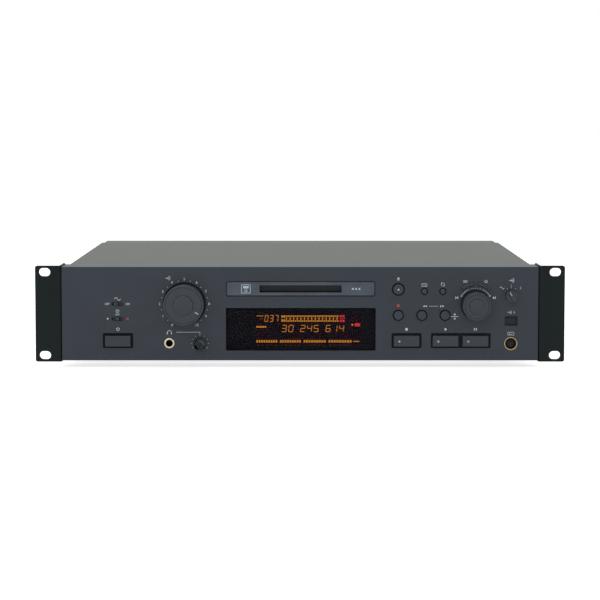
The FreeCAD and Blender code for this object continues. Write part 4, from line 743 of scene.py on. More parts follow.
    def words(self, text: str, at: tuple[float, float], height: float, out: float,
              thick: float = INK_THICK, bold: float = 0.0) -> "Draft":
        """Adds plain numerals or a plain ON or OFF, centred.

        Args:
            text: The characters.
            at: Their middle.
            height: The height of a capital, in millimetres.
            out: The height of their face over the panel.
            thick: Their thickness.
            bold: How much each outline grows, in millimetres.

        Returns:
            The drawing itself.
        """
        curve = bpy.data.curves.new("plain_characters", "FONT")
        curve.body = text
        curve.size = height / 0.69
        curve.align_x = "CENTER"
        curve.offset = bold
        curve.resolution_u = 3
        holder = bpy.data.objects.new("plain_characters", curve)
        mesh = bpy.data.meshes.new_from_object(holder)
        bpy.data.objects.remove(holder)
        bpy.data.curves.remove(curve)
        mesh.transform(Matrix.Translation((at[0], at[1] - height / 2, out)))
        before = len(self.shape.verts)
        self.shape.from_mesh(mesh)
        bpy.data.meshes.remove(mesh)
        self.shape.verts.ensure_lookup_table()
        verts = set(self.shape.verts[before:])
        bmesh.ops.remove_doubles(self.shape, verts=list(verts), dist=0.001)
        faces = [face for face in self.shape.faces if all(vert in verts for vert in face.verts)]
        self.thicken(faces, thick)
        return self

    def turned(self, at: tuple[float, float], profile: Iterable[tuple[float, float]],
               steps: int = 96) -> "Draft":
        """Adds a piece turned about a line out of the panel.

        Args:
            at: Where the line meets the panel.
            profile: Radius and height over the panel, from the front middle to the back.
            steps: How many steps make a full turn.

        Returns:
            The drawing itself.
        """
        verts = [self.shape.verts.new((at[0] + radius, at[1], out)) for radius, out in profile]
        edges = [self.shape.edges.new(pair) for pair in zip(verts, verts[1:])]
        bmesh.ops.spin(self.shape, geom=verts + edges, cent=(at[0], at[1], 0.0),
                       axis=(0, 0, 1), angle=2 * math.pi, steps=steps, use_merge=True,
                       use_duplicate=False)
        return self

    def slab(self, at: tuple[float, float], size: tuple[float, float], front: float, back: float,
             corner: float, edge: float) -> "Draft":
        """Adds a moulded block with round corners and a rounded front edge.

        Args:
            at: Its middle.
            size: Its width and height.
            front: The height of its face over the panel.
            back: The height of its back, below zero behind the face.
            corner: The radius of its four corners.
            edge: The radius of its front edge.

        Returns:
            The drawing itself.
        """
        block = bmesh.new()
        matrix = (Matrix.Translation((at[0], at[1], (front + back) / 2))
                  @ Matrix.Diagonal((size[0], size[1], front - back, 1.0)))
        bmesh.ops.create_cube(block, size=1.0, matrix=matrix)
        upright = [item for item in block.edges
                   if abs(item.verts[0].co.z - item.verts[1].co.z) > (front - back) / 2]
        bmesh.ops.bevel(block, geom=upright, offset=corner, offset_type="OFFSET", segments=5,
                        affect="EDGES", profile=0.5, material=-1)
        rim = [item for item in block.edges
               if all(abs(vert.co.z - front) < 1e-4 for vert in item.verts)]
        bmesh.ops.bevel(block, geom=rim, offset=edge, offset_type="OFFSET", segments=4,
                        affect="EDGES", profile=0.5, material=-1)
        return self.take(block)

    def take(self, part: bmesh.types.BMesh) -> "Draft":
        """Adds a mesh that was shaped by itself.

        Args:
            part: The mesh, in the drawing's millimetres. It is freed.

        Returns:
            The drawing itself.
        """
        spare = bpy.data.meshes.new("spare")
        part.to_mesh(spare)
        part.free()
        self.shape.from_mesh(spare)
        bpy.data.meshes.remove(spare)
        return self

    def place(self) -> bmesh.types.BMesh:
        """Stands the drawing up on the panel, in metres, and hands it over."""
        to_panel = Matrix(((MM, 0, 0, 0), (0, 0, -MM, self.FACE_Y), (0, MM, 0, self.MIDDLE_Z),
                           (0, 0, 0, 1)))
        bmesh.ops.transform(self.shape, matrix=to_panel, verts=self.shape.verts[:])
        return self.shape


class Lit(Enum):
    """The seven strokes of a numeral, by name."""

    TOP = "top"
    UPPER_RIGHT = "upper right"
    LOWER_RIGHT = "lower right"
    BOTTOM = "bottom"
    LOWER_LEFT = "lower left"
    UPPER_LEFT = "upper left"
    MIDDLE = "middle"


RIGHT_SIDE = (Lit.UPPER_RIGHT, Lit.LOWER_RIGHT)
LEFT_SIDE = (Lit.UPPER_LEFT, Lit.LOWER_LEFT)
NUMERALS = {
    "0": (Lit.TOP, Lit.BOTTOM, *RIGHT_SIDE, *LEFT_SIDE),
    "1": RIGHT_SIDE,
    "2": (Lit.TOP, Lit.UPPER_RIGHT, Lit.MIDDLE, Lit.LOWER_LEFT, Lit.BOTTOM),
    "3": (Lit.TOP, Lit.MIDDLE, Lit.BOTTOM, *RIGHT_SIDE),
    "4": (Lit.UPPER_LEFT, Lit.MIDDLE, *RIGHT_SIDE),
    "5": (Lit.TOP, Lit.UPPER_LEFT, Lit.MIDDLE, Lit.LOWER_RIGHT, Lit.BOTTOM),
    "6": (Lit.TOP, Lit.UPPER_LEFT, Lit.MIDDLE, Lit.LOWER_RIGHT, Lit.BOTTOM, Lit.LOWER_LEFT),
    "7": (Lit.TOP, *RIGHT_SIDE),
}


# From the panel's face to the skirts of the knobs, and the radius of the small knobs' stems.
FOOT_GAP = 0.8
STEM_RADIUS = 2.0


@dataclass
class TurnedKnob:
    """A moulded knob with a raised hub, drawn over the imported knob.

    Attributes:
        node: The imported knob.
        body: The body that it rides on.
        hub_radius: Radius of the hub, in millimetres.
        hub_rise: How far the hub stands over the face.
        edge: Radius of the rim's edge.
        foot_bevel: Size of the bevel round the skirt's foot.
        wall: The skirt's thickness.
        pointer: The pointer's angle clockwise from up, or None for a knob without one.
        pointer_length: The pointer's length.
        pointer_width: Its width.
        pointer_inset: From the rim to its outer end.
        groove: Depth of the fine groove near the rim.
        groove_edges: From the rim to the groove's four edges, the inner ones first.
        hub_edge: Radius of the hub's edge.
        dish: How much the hub's middle lies below its edge.
        moat: Depth and width of the groove round the hub's foot.
    """

    node: str
    body: str
    hub_radius: float
    hub_rise: float
    edge: float = 0.9
    foot_bevel: float = 0.3
    wall: float = 1.6
    pointer: Optional[float] = None
    pointer_length: float = 3.9
    pointer_width: float = 0.75
    pointer_inset: float = 2.4
    groove: float = 0.3
    groove_edges: tuple[float, float, float, float] = (2.2, 2.0, 1.7, 1.5)
    hub_edge: float = 1.0
    dish: float = 0.3
    moat: float = 0.12

    def profile(self, radius: float, tip: float) -> list[tuple[float, float]]:
        """The knob's half section, from the hub's middle round the rim to the inside.

        Args:
            radius: The knob's outer radius.
            tip: The height of the hub over the panel.

        Returns:
            Radius and height pairs.
        """
        face = tip - self.hub_rise
        hub = self.hub_radius
        soft = self.hub_edge
        points = [(0.0, tip - self.dish), (hub * 0.6, tip - self.dish * 0.7),
                  (hub - 2 * soft, tip - self.dish * 0.3)]
        points += self.round_corner((hub - soft, tip - soft), soft, 90, 0)
        points += [(hub, face - self.moat), (hub + self.moat, face - self.moat),
                   (hub + 2 * self.moat, face)]
        for inset, depth in zip(self.groove_edges, (0.0, self.groove, self.groove, 0.0)):
            points.append((radius - inset, face - depth))
        points += self.round_corner((radius - self.edge, face - self.edge), self.edge, 90, 0)
        inside = face - 2 * self.wall
        points += [(radius, FOOT_GAP + self.foot_bevel),
                   (radius - self.foot_bevel, FOOT_GAP),
                   (radius - self.wall, FOOT_GAP), (radius - self.wall, inside),
                   (0.0, inside)]
        return points

    @staticmethod
    def round_corner(centre: tuple[float, float], radius: float, start: float, end: float,
                     steps: int = 5) -> list[tuple[float, float]]:
        """Points along a part of a circle.

        Args:
            centre: The circle's middle, as radius and height.
            radius: The circle's own radius.
            start: The first point's angle in degrees; 90 looks out of the panel.
            end: The last point's angle.
            steps: How many steps lie between them.

        Returns:
            Radius and height pairs.
        """
        points = []
        for index in range(steps + 1):
            angle = math.radians(start + (end - start) * index / steps)
            points.append((centre[0] + radius * math.cos(angle),
                           centre[1] + radius * math.sin(angle)))
        return points

    def build(self) -> None:
        """Makes the knob and its pointer."""
        at = Draft.at_node(self.node)
        radius = Draft.radius_of(self.node)
        tip = Draft.out_of(self.node)
        knob = Draft().turned(at, self.profile(radius, tip), steps=128)
        publish("turned_" + self.node, knob.place(), KNOB_ABS, self.body,
                replaces=[self.node])
        if self.pointer is None:
            return
        face = tip - self.hub_rise
        reach = radius - self.pointer_inset - self.pointer_length / 2
        line = Draft().bar(on_circle(at, reach, self.pointer), self.pointer_width,
                           self.pointer_length, face + MARK_LIFT, turn=self.pointer)
        publish("pointer_of_" + self.node, line.place(), PALE_INK, self.body)


@dataclass
class PhonesKnob:
    """The small knurled level knob with a pointer line.

    Attributes:
        node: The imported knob.
        body: The body that it rides on.
        ribs: How many ribs run round its edge.
        rib_depth: Their depth in millimetres.
        rim: Width of the slope that rises from the edge to the rim's top.
        dish_slope: Width of the slope from there back down to the face.
        dish: Height of both slopes.
        line_width: Width of the pointer line.
        line_sunk: How far the line lies below the knob's front.
    """

    node: str = "phones_knob"
    body: str = "phones_control"
    ribs: int = 24
    rib_depth: float = 0.35
    rim: float = 0.5
    dish_slope: float = 0.4
    dish: float = 0.25
    line_width: float = 0.6
    line_sunk: float = 0.2

    def build(self) -> None:
        """Makes the ribbed drum with its rim and its stem, and the pointer line."""
        at = Draft.at_node(self.node)
        radius = Draft.radius_of(self.node)
        tip = Draft.out_of(self.node)
        drum = bmesh.new()
        middle = Vector((at[0], at[1], tip))
        bmesh.ops.create_circle(drum, cap_ends=True, segments=self.ribs * 4, radius=radius,
                                matrix=Matrix.Translation(middle))
        for index, vert in enumerate(drum.verts):
            if index % 4 >= 2:
                vert.co = middle + (vert.co - middle) * (1 - self.rib_depth / radius)
        made = bmesh.ops.extrude_face_region(drum, geom=drum.faces[:])
        back = [item for item in made["geom"] if isinstance(item, bmesh.types.BMVert)]
        bmesh.ops.translate(drum, verts=back, vec=(0, 0, FOOT_GAP - tip))
        front = [face for face in drum.faces if len(face.verts) > 4
                 and face.calc_center_median().z > tip - 0.1]
        bmesh.ops.inset_region(drum, faces=front, thickness=self.rim, depth=self.dish)
        bmesh.ops.inset_region(drum, faces=front, thickness=self.dish_slope, depth=-self.dish)
        knob = Draft().take(drum)
        knob.disc(at, STEM_RADIUS, FOOT_GAP, sides=32,
                  thick=FOOT_GAP - Draft.back_of(self.node))
        publish("ribbed_phones_knob", knob.place(), KNOB_ABS, self.body,
                replaces=[self.node], smooth_deg=25)
        line = Draft().bar((at[0], at[1] + radius * 0.55), self.line_width, radius * 0.62,
                           tip - self.line_sunk)
        publish("pointer_of_phones_knob", line.place(), PALE_INK, self.body)


@dataclass
class SelectorKnob:
    """The selector: a disc with a bar grip, its pointer line at the grip's end.

    Attributes:
        node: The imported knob.
        body: The body that it rides on.
        rest: The grip's angle at rest, in degrees clockwise from up.
        disc_edge: Radius of the disc's edge, in millimetres.
        grip_width: Width of the grip.
        grip_short: How much shorter it is than the disc is wide.
        grip_rise: How far it stands over the disc.
        grip_sunk: How far it reaches into the disc.
        grip_corner: Radius of its corners.
        grip_edge: Radius of its front edge.
        line_width: Width of the pointer line.
    """

    node: str = "selector_knob"
    body: str = "selector_control"
    rest: float = -30.0
    disc_edge: float = 0.6
    grip_width: float = 3.0
    grip_short: float = 0.4
    grip_rise: float = 3.4
    grip_sunk: float = 0.2
    grip_corner: float = 1.2
    grip_edge: float = 0.7
    line_width: float = 0.6

    def build(self) -> None:
        """Makes the disc, the grip with its rounded ridge, the stem and the line."""
        at = Draft.at_node(self.node)
        radius = Draft.radius_of(self.node)
        tip = Draft.out_of(self.node)
        base = tip - self.grip_rise
        edge = self.disc_edge
        knob = Draft().turned(at, [(0.0, base), (radius - edge, base)]
                              + TurnedKnob.round_corner((radius - edge, base - edge), edge, 90, 0)
                              + [(radius, FOOT_GAP), (0.0, FOOT_GAP)], steps=64)
        knob.disc(at, STEM_RADIUS, FOOT_GAP, sides=32,
                  thick=FOOT_GAP - Draft.back_of(self.node))
        grip = Draft().slab((0.0, 0.0), (self.grip_width, 2 * radius - self.grip_short), tip,
                            base - self.grip_sunk, corner=self.grip_corner, edge=self.grip_edge)
        turn = (Matrix.Translation((at[0], at[1], 0.0))
                @ Matrix.Rotation(math.radians(-self.rest), 4, "Z"))
        bmesh.ops.transform(grip.shape, matrix=turn, verts=grip.shape.verts[:])
        knob.take(grip.shape)
        publish("bar_selector_knob", knob.place(), KNOB_ABS, self.body,
                replaces=[self.node])
        line = Draft().bar(on_circle(at, radius * 0.55, self.rest), self.line_width,
                           radius * 0.7, tip + MARK_LIFT, turn=self.rest)
        publish("pointer_of_selector_knob", line.place(), PALE_INK, self.body)


@dataclass
class RoundKeys:
    """The six round keys: satin caps with a low dome, each with its flange and stem.

    Attributes:
        nodes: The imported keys, each with the radius of its cap in millimetres.
        dome: How much the middle of a cap stands over its edge.
        edge: The radius of the cap's edge.
        flange: How far the flange reaches past the cap.
        flange_front: Depth of the flange's front, behind the panel's wall.
        flange_thick: Its thickness.
        stem_radius: The radius of the stem.
    """

    nodes: tuple[tuple[str, float], ...] = (
        ("eject_button", 4.7), ("display_button", 2.4), ("play_mode_button", 2.4),
        ("record_button", 4.05), ("search_back_button", 4.05), ("search_forward_button", 4.05))
    dome: float = 0.5
    edge: float = 0.55
    flange: float = 1.0
    flange_front: float = 3.05
    flange_thick: float = 1.0
    stem_radius: float = 1.5

    def profile(self, radius: float, proud: float, stem_end: float) -> list[tuple[float, float]]:
        """A key's half section from the middle of its face to the end of its stem.

        Args:
            radius: The cap's radius.
            proud: How far the cap's edge stands out.
            stem_end: Depth of the stem's end, as a height below zero.

        Returns:
            Radius and height pairs.
        """
        shoulder = radius - self.edge
        points = [(0.0, proud + self.dome)]
        for share in (0.25, 0.5, 0.75, 0.92):
            points.append((shoulder * share, proud + self.dome * (1 - share ** 2)))
        points += TurnedKnob.round_corner((shoulder, proud - self.edge), self.edge, 82, 0)
        wide = radius + self.flange
        back = -self.flange_front - self.flange_thick
        points += [(radius, -self.flange_front), (wide, -self.flange_front), (wide, back),
                   (self.stem_radius, back), (self.stem_radius, stem_end), (0.0, stem_end)]
        return points

    def build(self) -> None:
        """Makes the six keys."""
        for node, radius in self.nodes:
            section = self.profile(radius, Draft.out_of(node), Draft.back_of(node))
            key = Draft().turned(Draft.at_node(node), section, steps=72)
            publish("domed_" + node, key.place(), KEY_ABS, rides(node),
                    replaces=[node])


@dataclass
class DustSeals:
    """Painted shade: dark sheets on the floors of the recesses and pockets round keys and knobs.

    Attributes:
        rings: The knobs and round keys, each with the inner and outer radius of its ring of painted
            shade.
        pockets: Pockets by the keys in them.
        key_cap: Width and height of the rectangular keys, in millimetres.
        pocket_half: How far a pocket reaches from the key's middle, across and up.
        rise: How much a pocket's middle lies over the middle of its keys.
        floor: Depth of the recesses' floors.
        thick: The sheets' thickness.
        gap: From a key to the sheet.
    """

    rings: tuple[tuple[str, float, float], ...] = (
        ("input_knob", 14.0, 19.55), ("jog_knob", 9.5, 13.45), ("eject_button", 5.0, 5.9),
        ("display_button", 2.7, 3.25), ("play_mode_button", 2.7, 3.25),
        ("record_button", 4.35, 5.1), ("search_back_button", 4.35, 5.1),
        ("search_forward_button", 4.35, 5.1))
    pockets: tuple[tuple[str, ...], ...] = (("power_button",), ("stop_button",),
                                            ("play_button", "ready_button"))
    key_cap: tuple[float, float] = (23.4, 9.8)
    pocket_half: tuple[float, float] = (13.8, 6.8)
    rise: float = 0.4
    floor: float = 1.6
    thick: float = 0.25
    gap: float = 0.3

    def build(self) -> None:
        """Cuts all the painted shade as one piece."""
        shade_sheets = Draft()
        out = self.thick - self.floor
        for node, inner, outer in self.rings:
            profile = [(inner, -self.floor), (inner, out), (outer, out), (outer, -self.floor),
                       (inner, -self.floor)]
            shade_sheets.turned(Draft.at_node(node), profile, steps=64)
        for keys in self.pockets:
            self.pocket(shade_sheets, keys, out)
        # One piece of painted shade for all the recesses and pockets.
        publish("recess_shade_sheets", shade_sheets.place(), RECESS_SHADE_SHEET, "root")

    def pocket(self, shade_sheets: Draft, keys: tuple[str, ...], out: float) -> None:
        """Lays strips of painted shade round the keys of one pocket.

        Args:
            shade_sheets: The drawing.
            keys: The keys in the pocket, from left to right.
            out: The height of the sheets' face over the panel.
        """
        middles = [Draft.at_node(key) for key in keys]
        half_w, half_h = self.pocket_half
        left = middles[0][0] - half_w
        right = middles[-1][0] + half_w
        up = middles[0][1] + self.rise
        key_h = self.key_cap[1] / 2 + self.gap
        top_h = up + half_h - (middles[0][1] + key_h)
        low_h = (middles[0][1] - key_h) - (up - half_h)
        width = right - left
        middle_x = (left + right) / 2
        shade_sheets.bar((middle_x, up + half_h - top_h / 2), width, top_h, out, thick=self.thick)
        shade_sheets.bar((middle_x, up - half_h + low_h / 2), width, low_h, out, thick=self.thick)
        edges = [left]
        for x, _ in middles:
            edges += [x - self.key_cap[0] / 2 - self.gap, x + self.key_cap[0] / 2 + self.gap]
        edges.append(right)
        for start, end in zip(edges[::2], edges[1::2]):
            shade_sheets.bar(((start + end) / 2, middles[0][1]), end - start, 2 * key_h, out,
                      thick=self.thick)


@dataclass
class KeyMarks:
    """The printed marks on the keys' faces: play, stop, ready and eject.

    Attributes:
        from_middle: Where a rectangular key's mark stands from the key's middle, in
            millimetres.
        stop_side: The side of the stop mark's square.
        arrow: The size of the triangles of the play and eject marks.
        ready_bar: Width and height of one bar of the ready mark.
    """

    from_middle: tuple[float, float] = (-6.6, -0.2)
    stop_side: float = 1.5
    arrow: float = 1.25
    ready_bar: tuple[float, float] = (0.55, 1.7)

    def build(self) -> None:
        """Prints the marks, one piece for each key."""
        width, height = self.ready_bar
        for name in ("stop", "play", "ready", "eject"):
            x, up = Draft.at_node(name + "_button")
            out = Draft.out_of(name + "_button") + MARK_LIFT
            mark = Draft()
            if name == "eject":
                mark.triangle((x, up), self.arrow, out + RoundKeys.dome)
            x, up = x + self.from_middle[0], up + self.from_middle[1]
            if name == "stop":
                mark.bar((x, up), self.stop_side, self.stop_side, out)
            if name == "play":
                mark.triangle((x, up), self.arrow, out, turn=90)
            if name == "ready":
                for side in (-1, 1):
                    mark.bar((x + side * width, up), width, height, out)
            publish("mark_" + name, mark.place(), PALE_INK, name + "_key")


@dataclass
class SliderCaps:
    """Ribs across the faces of the two slide switches, where a fingertip grips.

    Attributes:
        nodes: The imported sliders.
        ribs: How many ribs each has.
        pitch: From one rib to the next, in millimetres.
        width: A rib's width.
        height: Its height.
        lift: How far it stands over the slider's face.
        thick: How far it reaches from there into the slider.
    """

    nodes: tuple[str, ...] = ("pitch_slider", "timer_slider")
    ribs: int = 3
    pitch: float = 0.8
    width: float = 0.35
    height: float = 2.0
    lift: float = 0.18
    thick: float = 0.4

    def build(self) -> None:
        """Makes the ribs of each slider as one piece."""
        for node in self.nodes:
            x, up = Draft.at_node(node)
            out = Draft.out_of(node) + self.lift
            ribs = Draft()
            for index in range(self.ribs):
                offset = (index - (self.ribs - 1) / 2) * self.pitch
                ribs.bar((x + offset, up), self.width, self.height, out, thick=self.thick)
            publish("ribs_of_" + node, ribs.place(), KNOB_ABS, rides(node))


class Shade(Enum):
    """Which phosphor lights a part of the display."""

    AMBER = "amber"
    DIM = "dim amber"
    RED = "red"


@dataclass
class Display:
    """The lit dot and segment display behind its smoked window.

    The sizes are those that show on the window; each shape is drawn where its line of
    sight meets the front of the tube.

    Attributes:
        lit_left: Left edge of the lit area from the panel's middle, in millimetres.
        lit_right: Its right edge.
        lit_top: Its top from the panel's middle line.
        lit_bottom: Its bottom.
        eye_out: How far in front of the panel the display is read from.
        eye_up: How high over the panel's middle line.
        stroke: Width of a numeral's strokes.
        lean: How far the numerals lean to the right.
        glow_lift: How far the lit parts stand over the front of the tube.
        gasket_gap: Between the window's back and the gasket.
        gasket_thick: The gasket's thickness.
        drawings: One drawing for each phosphor.
    """

    lit_left: float = -40.9
    lit_right: float = 55.9
    lit_top: float = 0.9
    lit_bottom: float = -29.9
    eye_out: float = 1228.1
    eye_up: float = 186.7
    stroke: float = 0.58
    lean: float = 0.7
    glow_lift: float = 0.05
    gasket_gap: float = 0.1
    gasket_thick: float = 0.6
    drawings: dict[Shade, Draft] = field(
        default_factory=lambda: {phosphor: Draft() for phosphor in Shade})

    def __post_init__(self) -> None:
        """Reads the tube's front and the window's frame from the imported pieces."""
        self.front = -Draft.out_of("display_tube")
        low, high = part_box("display_window")
        self.window = ((high.x - low.x) / MM, (high.z - low.z) / MM)
        self.window_back = -Draft.back_of("display_window")
        self.middle = Draft.at_node("display_window")

    def seen(self, x: float, up: float) -> tuple[float, float]:
        """Where on the tube a point lies that shows at (x, up) on the panel's face."""
        share = self.front / self.eye_out
        return x * (1 + share), up + (up - self.eye_up) * share

    def light(self, colour: Shade, at: tuple[float, float], width: float, height: float,
              lean: float = 0.0) -> None:
        """Lights a rectangle, placed as it shows on the panel's face."""
        self.drawings[colour].bar(self.seen(*at), width, height, self.glow_lift - self.front,
                                  lean=lean)

    def numeral(self, colour: Shade, character: str, at: tuple[float, float],
                size: tuple[float, float]) -> None:
        """Lights one seven-segment numeral.

        Args:
            colour: The phosphor.
            character: The numeral, or a space.
            at: Its middle.
            size: Its width and height over its strokes.
        """
        x, up = at
        half_w = (size[0] - self.stroke) / 2
        half_h = (size[1] - self.stroke) / 2
        slope = self.lean / size[1]
        length = half_h - self.stroke * 0.35
        for part in NUMERALS.get(character, ()):
            level = {Lit.TOP: half_h, Lit.MIDDLE: 0.0, Lit.BOTTOM: -half_h}
            if part in level:
                rise = level[part]
                self.light(colour, (x + rise * slope, up + rise),
                           size[0] - 1.4 * self.stroke, self.stroke)
                continue
            side = 1 if part in RIGHT_SIDE else -1
            rise = half_h / 2 if part in (Lit.UPPER_LEFT, Lit.UPPER_RIGHT) else -half_h / 2
            self.light(colour, (x + side * half_w + rise * slope, up + rise),
                       self.stroke, length - self.stroke * 0.5, lean=slope * length)

    def number(self, text: str, left: float, up: float, size: tuple[float, float],
               pitch: float, gap: float) -> None:
        """Lights a row of numerals.

        Args:
            text: Numerals, with spaces between groups.
            left: Where the row starts.
            up: The row's middle line.
            size: Width and height of a numeral.
            pitch: From one numeral to the next.
            gap: The width of a space.
        """
        x = left + size[0] / 2
        for character in text:
            if character == " ":
                x += gap
                continue
            self.numeral(Shade.AMBER, character, (x, up), size)
            x += pitch

    def row(self, colour: Shade, left: float, right: float, up: float, height: float,
            count: int, fill: float = 0.72) -> None:
        """Lights a row of equal bars; fill is how much of its share a bar takes up."""
        pitch = (right - left) / count
        for index in range(count):
            self.light(colour, (left + pitch * (index + 0.5), up), pitch * fill, height)

    def track_number(self) -> None:
        """The track number with the small marks before it."""
        self.number("037", -32.2, -4.3, (3.3, 6.2), 4.6, 2.0)
        self.row(Shade.AMBER, -39.8, -33.4, -2.0, 0.8, 3, fill=0.7)
        self.row(Shade.DIM, -37.0, -33.4, -4.6, 0.7, 2, fill=0.7)

    def meter(self) -> None:
        """The level meter: two rows of bars with dots between, and its red end."""
        for up in (-2.2, -6.6):
            self.row(Shade.AMBER, -17.2, 35.4, up, 1.3, 26, fill=0.74)
            self.row(Shade.AMBER, -17.2, -13.4, up - math.copysign(0.35, up + 4.4), 2.2, 2)
            self.row(Shade.RED, 36.0, 41.0, up, 2.0, 2, fill=0.8)
        self.row(Shade.AMBER, -14.0, 35.4, -4.4, 1.9, 15, fill=0.34)
        self.row(Shade.RED, 36.0, 41.0, -4.4, 1.0, 3, fill=0.6)

    def clock(self) -> None:
        """The time and title line, with the mode marks at its left and right."""
        self.row(Shade.AMBER, -40.0, -30.6, -12.0, 1.5, 5, fill=0.84)
        self.number("30 245 614", -16.6, -13.5, (4.4, 6.4), 6.1, 4.8)
        self.drawings[Shade.AMBER].disc(self.seen(47.7, -10.1), 0.9,
                                        self.glow_lift - self.front, sides=24)
        self.light(Shade.RED, (52.4, -10.1), 5.0, 3.0)

    def track_bars(self) -> None:
        """The row of segmented bars along the bottom, with the scale marks over it."""
        for left, right in ((-40.1, -20.4), (-18.7, 1.1), (2.9, 23.8), (25.7, 47.4)):
            self.row(Shade.AMBER, left, right, -25.3, 2.3, 9, fill=0.66)
            self.row(Shade.DIM, left, right, -29.0, 0.5, 5, fill=0.2)
        self.light(Shade.AMBER, (51.5, -25.3), 5.4, 0.8)

    def lit_area(self) -> tuple[float, float, float, float]:
        """The left, right, bottom and top of the lit area, on the tube."""
        left, top = self.seen(self.lit_left, self.lit_top)
        right, bottom = self.seen(self.lit_right, self.lit_bottom)
        return left, right, bottom, top

    def surround(self) -> None:
        """The black gasket between window and tube, open at the lit area."""
        left, right, bottom, top = self.lit_area()
        middle = ((left + right) / 2, (top + bottom) / 2)
        gasket = bmesh.new()
        matrix = Matrix.Translation((*self.middle, 0.0)) @ Matrix.Diagonal((*self.window, 1, 1))
        bmesh.ops.create_grid(gasket, x_segments=1, y_segments=1, size=0.5, matrix=matrix)
        cuts = (((left, 0, 0), (1, 0, 0)), ((right, 0, 0), (1, 0, 0)),
                ((0, top, 0), (0, 1, 0)), ((0, bottom, 0), (0, 1, 0)))
        for place, normal in cuts:
            everything = gasket.verts[:] + gasket.edges[:] + gasket.faces[:]
            bmesh.ops.bisect_plane(gasket, geom=everything, plane_co=place, plane_no=normal)
        inner = [face for face in gasket.faces
                 if (face.calc_center_median() - Vector((*middle, 0.0))).length < 1.0]
        bmesh.ops.delete(gasket, geom=inner, context="FACES")
        bmesh.ops.translate(gasket, verts=gasket.verts[:],
                            vec=(0, 0, -self.window_back - self.gasket_gap))
        surround = Draft().take(gasket)
        surround.thicken(surround.shape.faces[:], self.gasket_thick)
        publish("display_gasket", surround.place(), SOCKET_ABS, "root")

    def grid(self) -> None:
        """The tube's lit area: dark glass with the glimmer of its unlit dots."""
        left, right, bottom, top = self.lit_area()
        glass = Draft().bar(((left + right) / 2, (top + bottom) / 2), right - left, top - bottom,
                            -self.front, thick=0.02)
        publish("display_grid", glass.place(), GridGlass(), "root")

    def build(self) -> None:
        """Lights the display and closes its surround."""
        self.track_number()
        self.meter()
        self.clock()
        self.track_bars()
        self.grid()
        self.surround()
        finishes = {Shade.AMBER: AMBER, Shade.DIM: AMBER_DIM, Shade.RED: RED_GLOW}
        for phosphor, drawing in self.drawings.items():
            publish("display_" + phosphor.name.lower(), drawing.place(), finishes[phosphor],
                    "root")


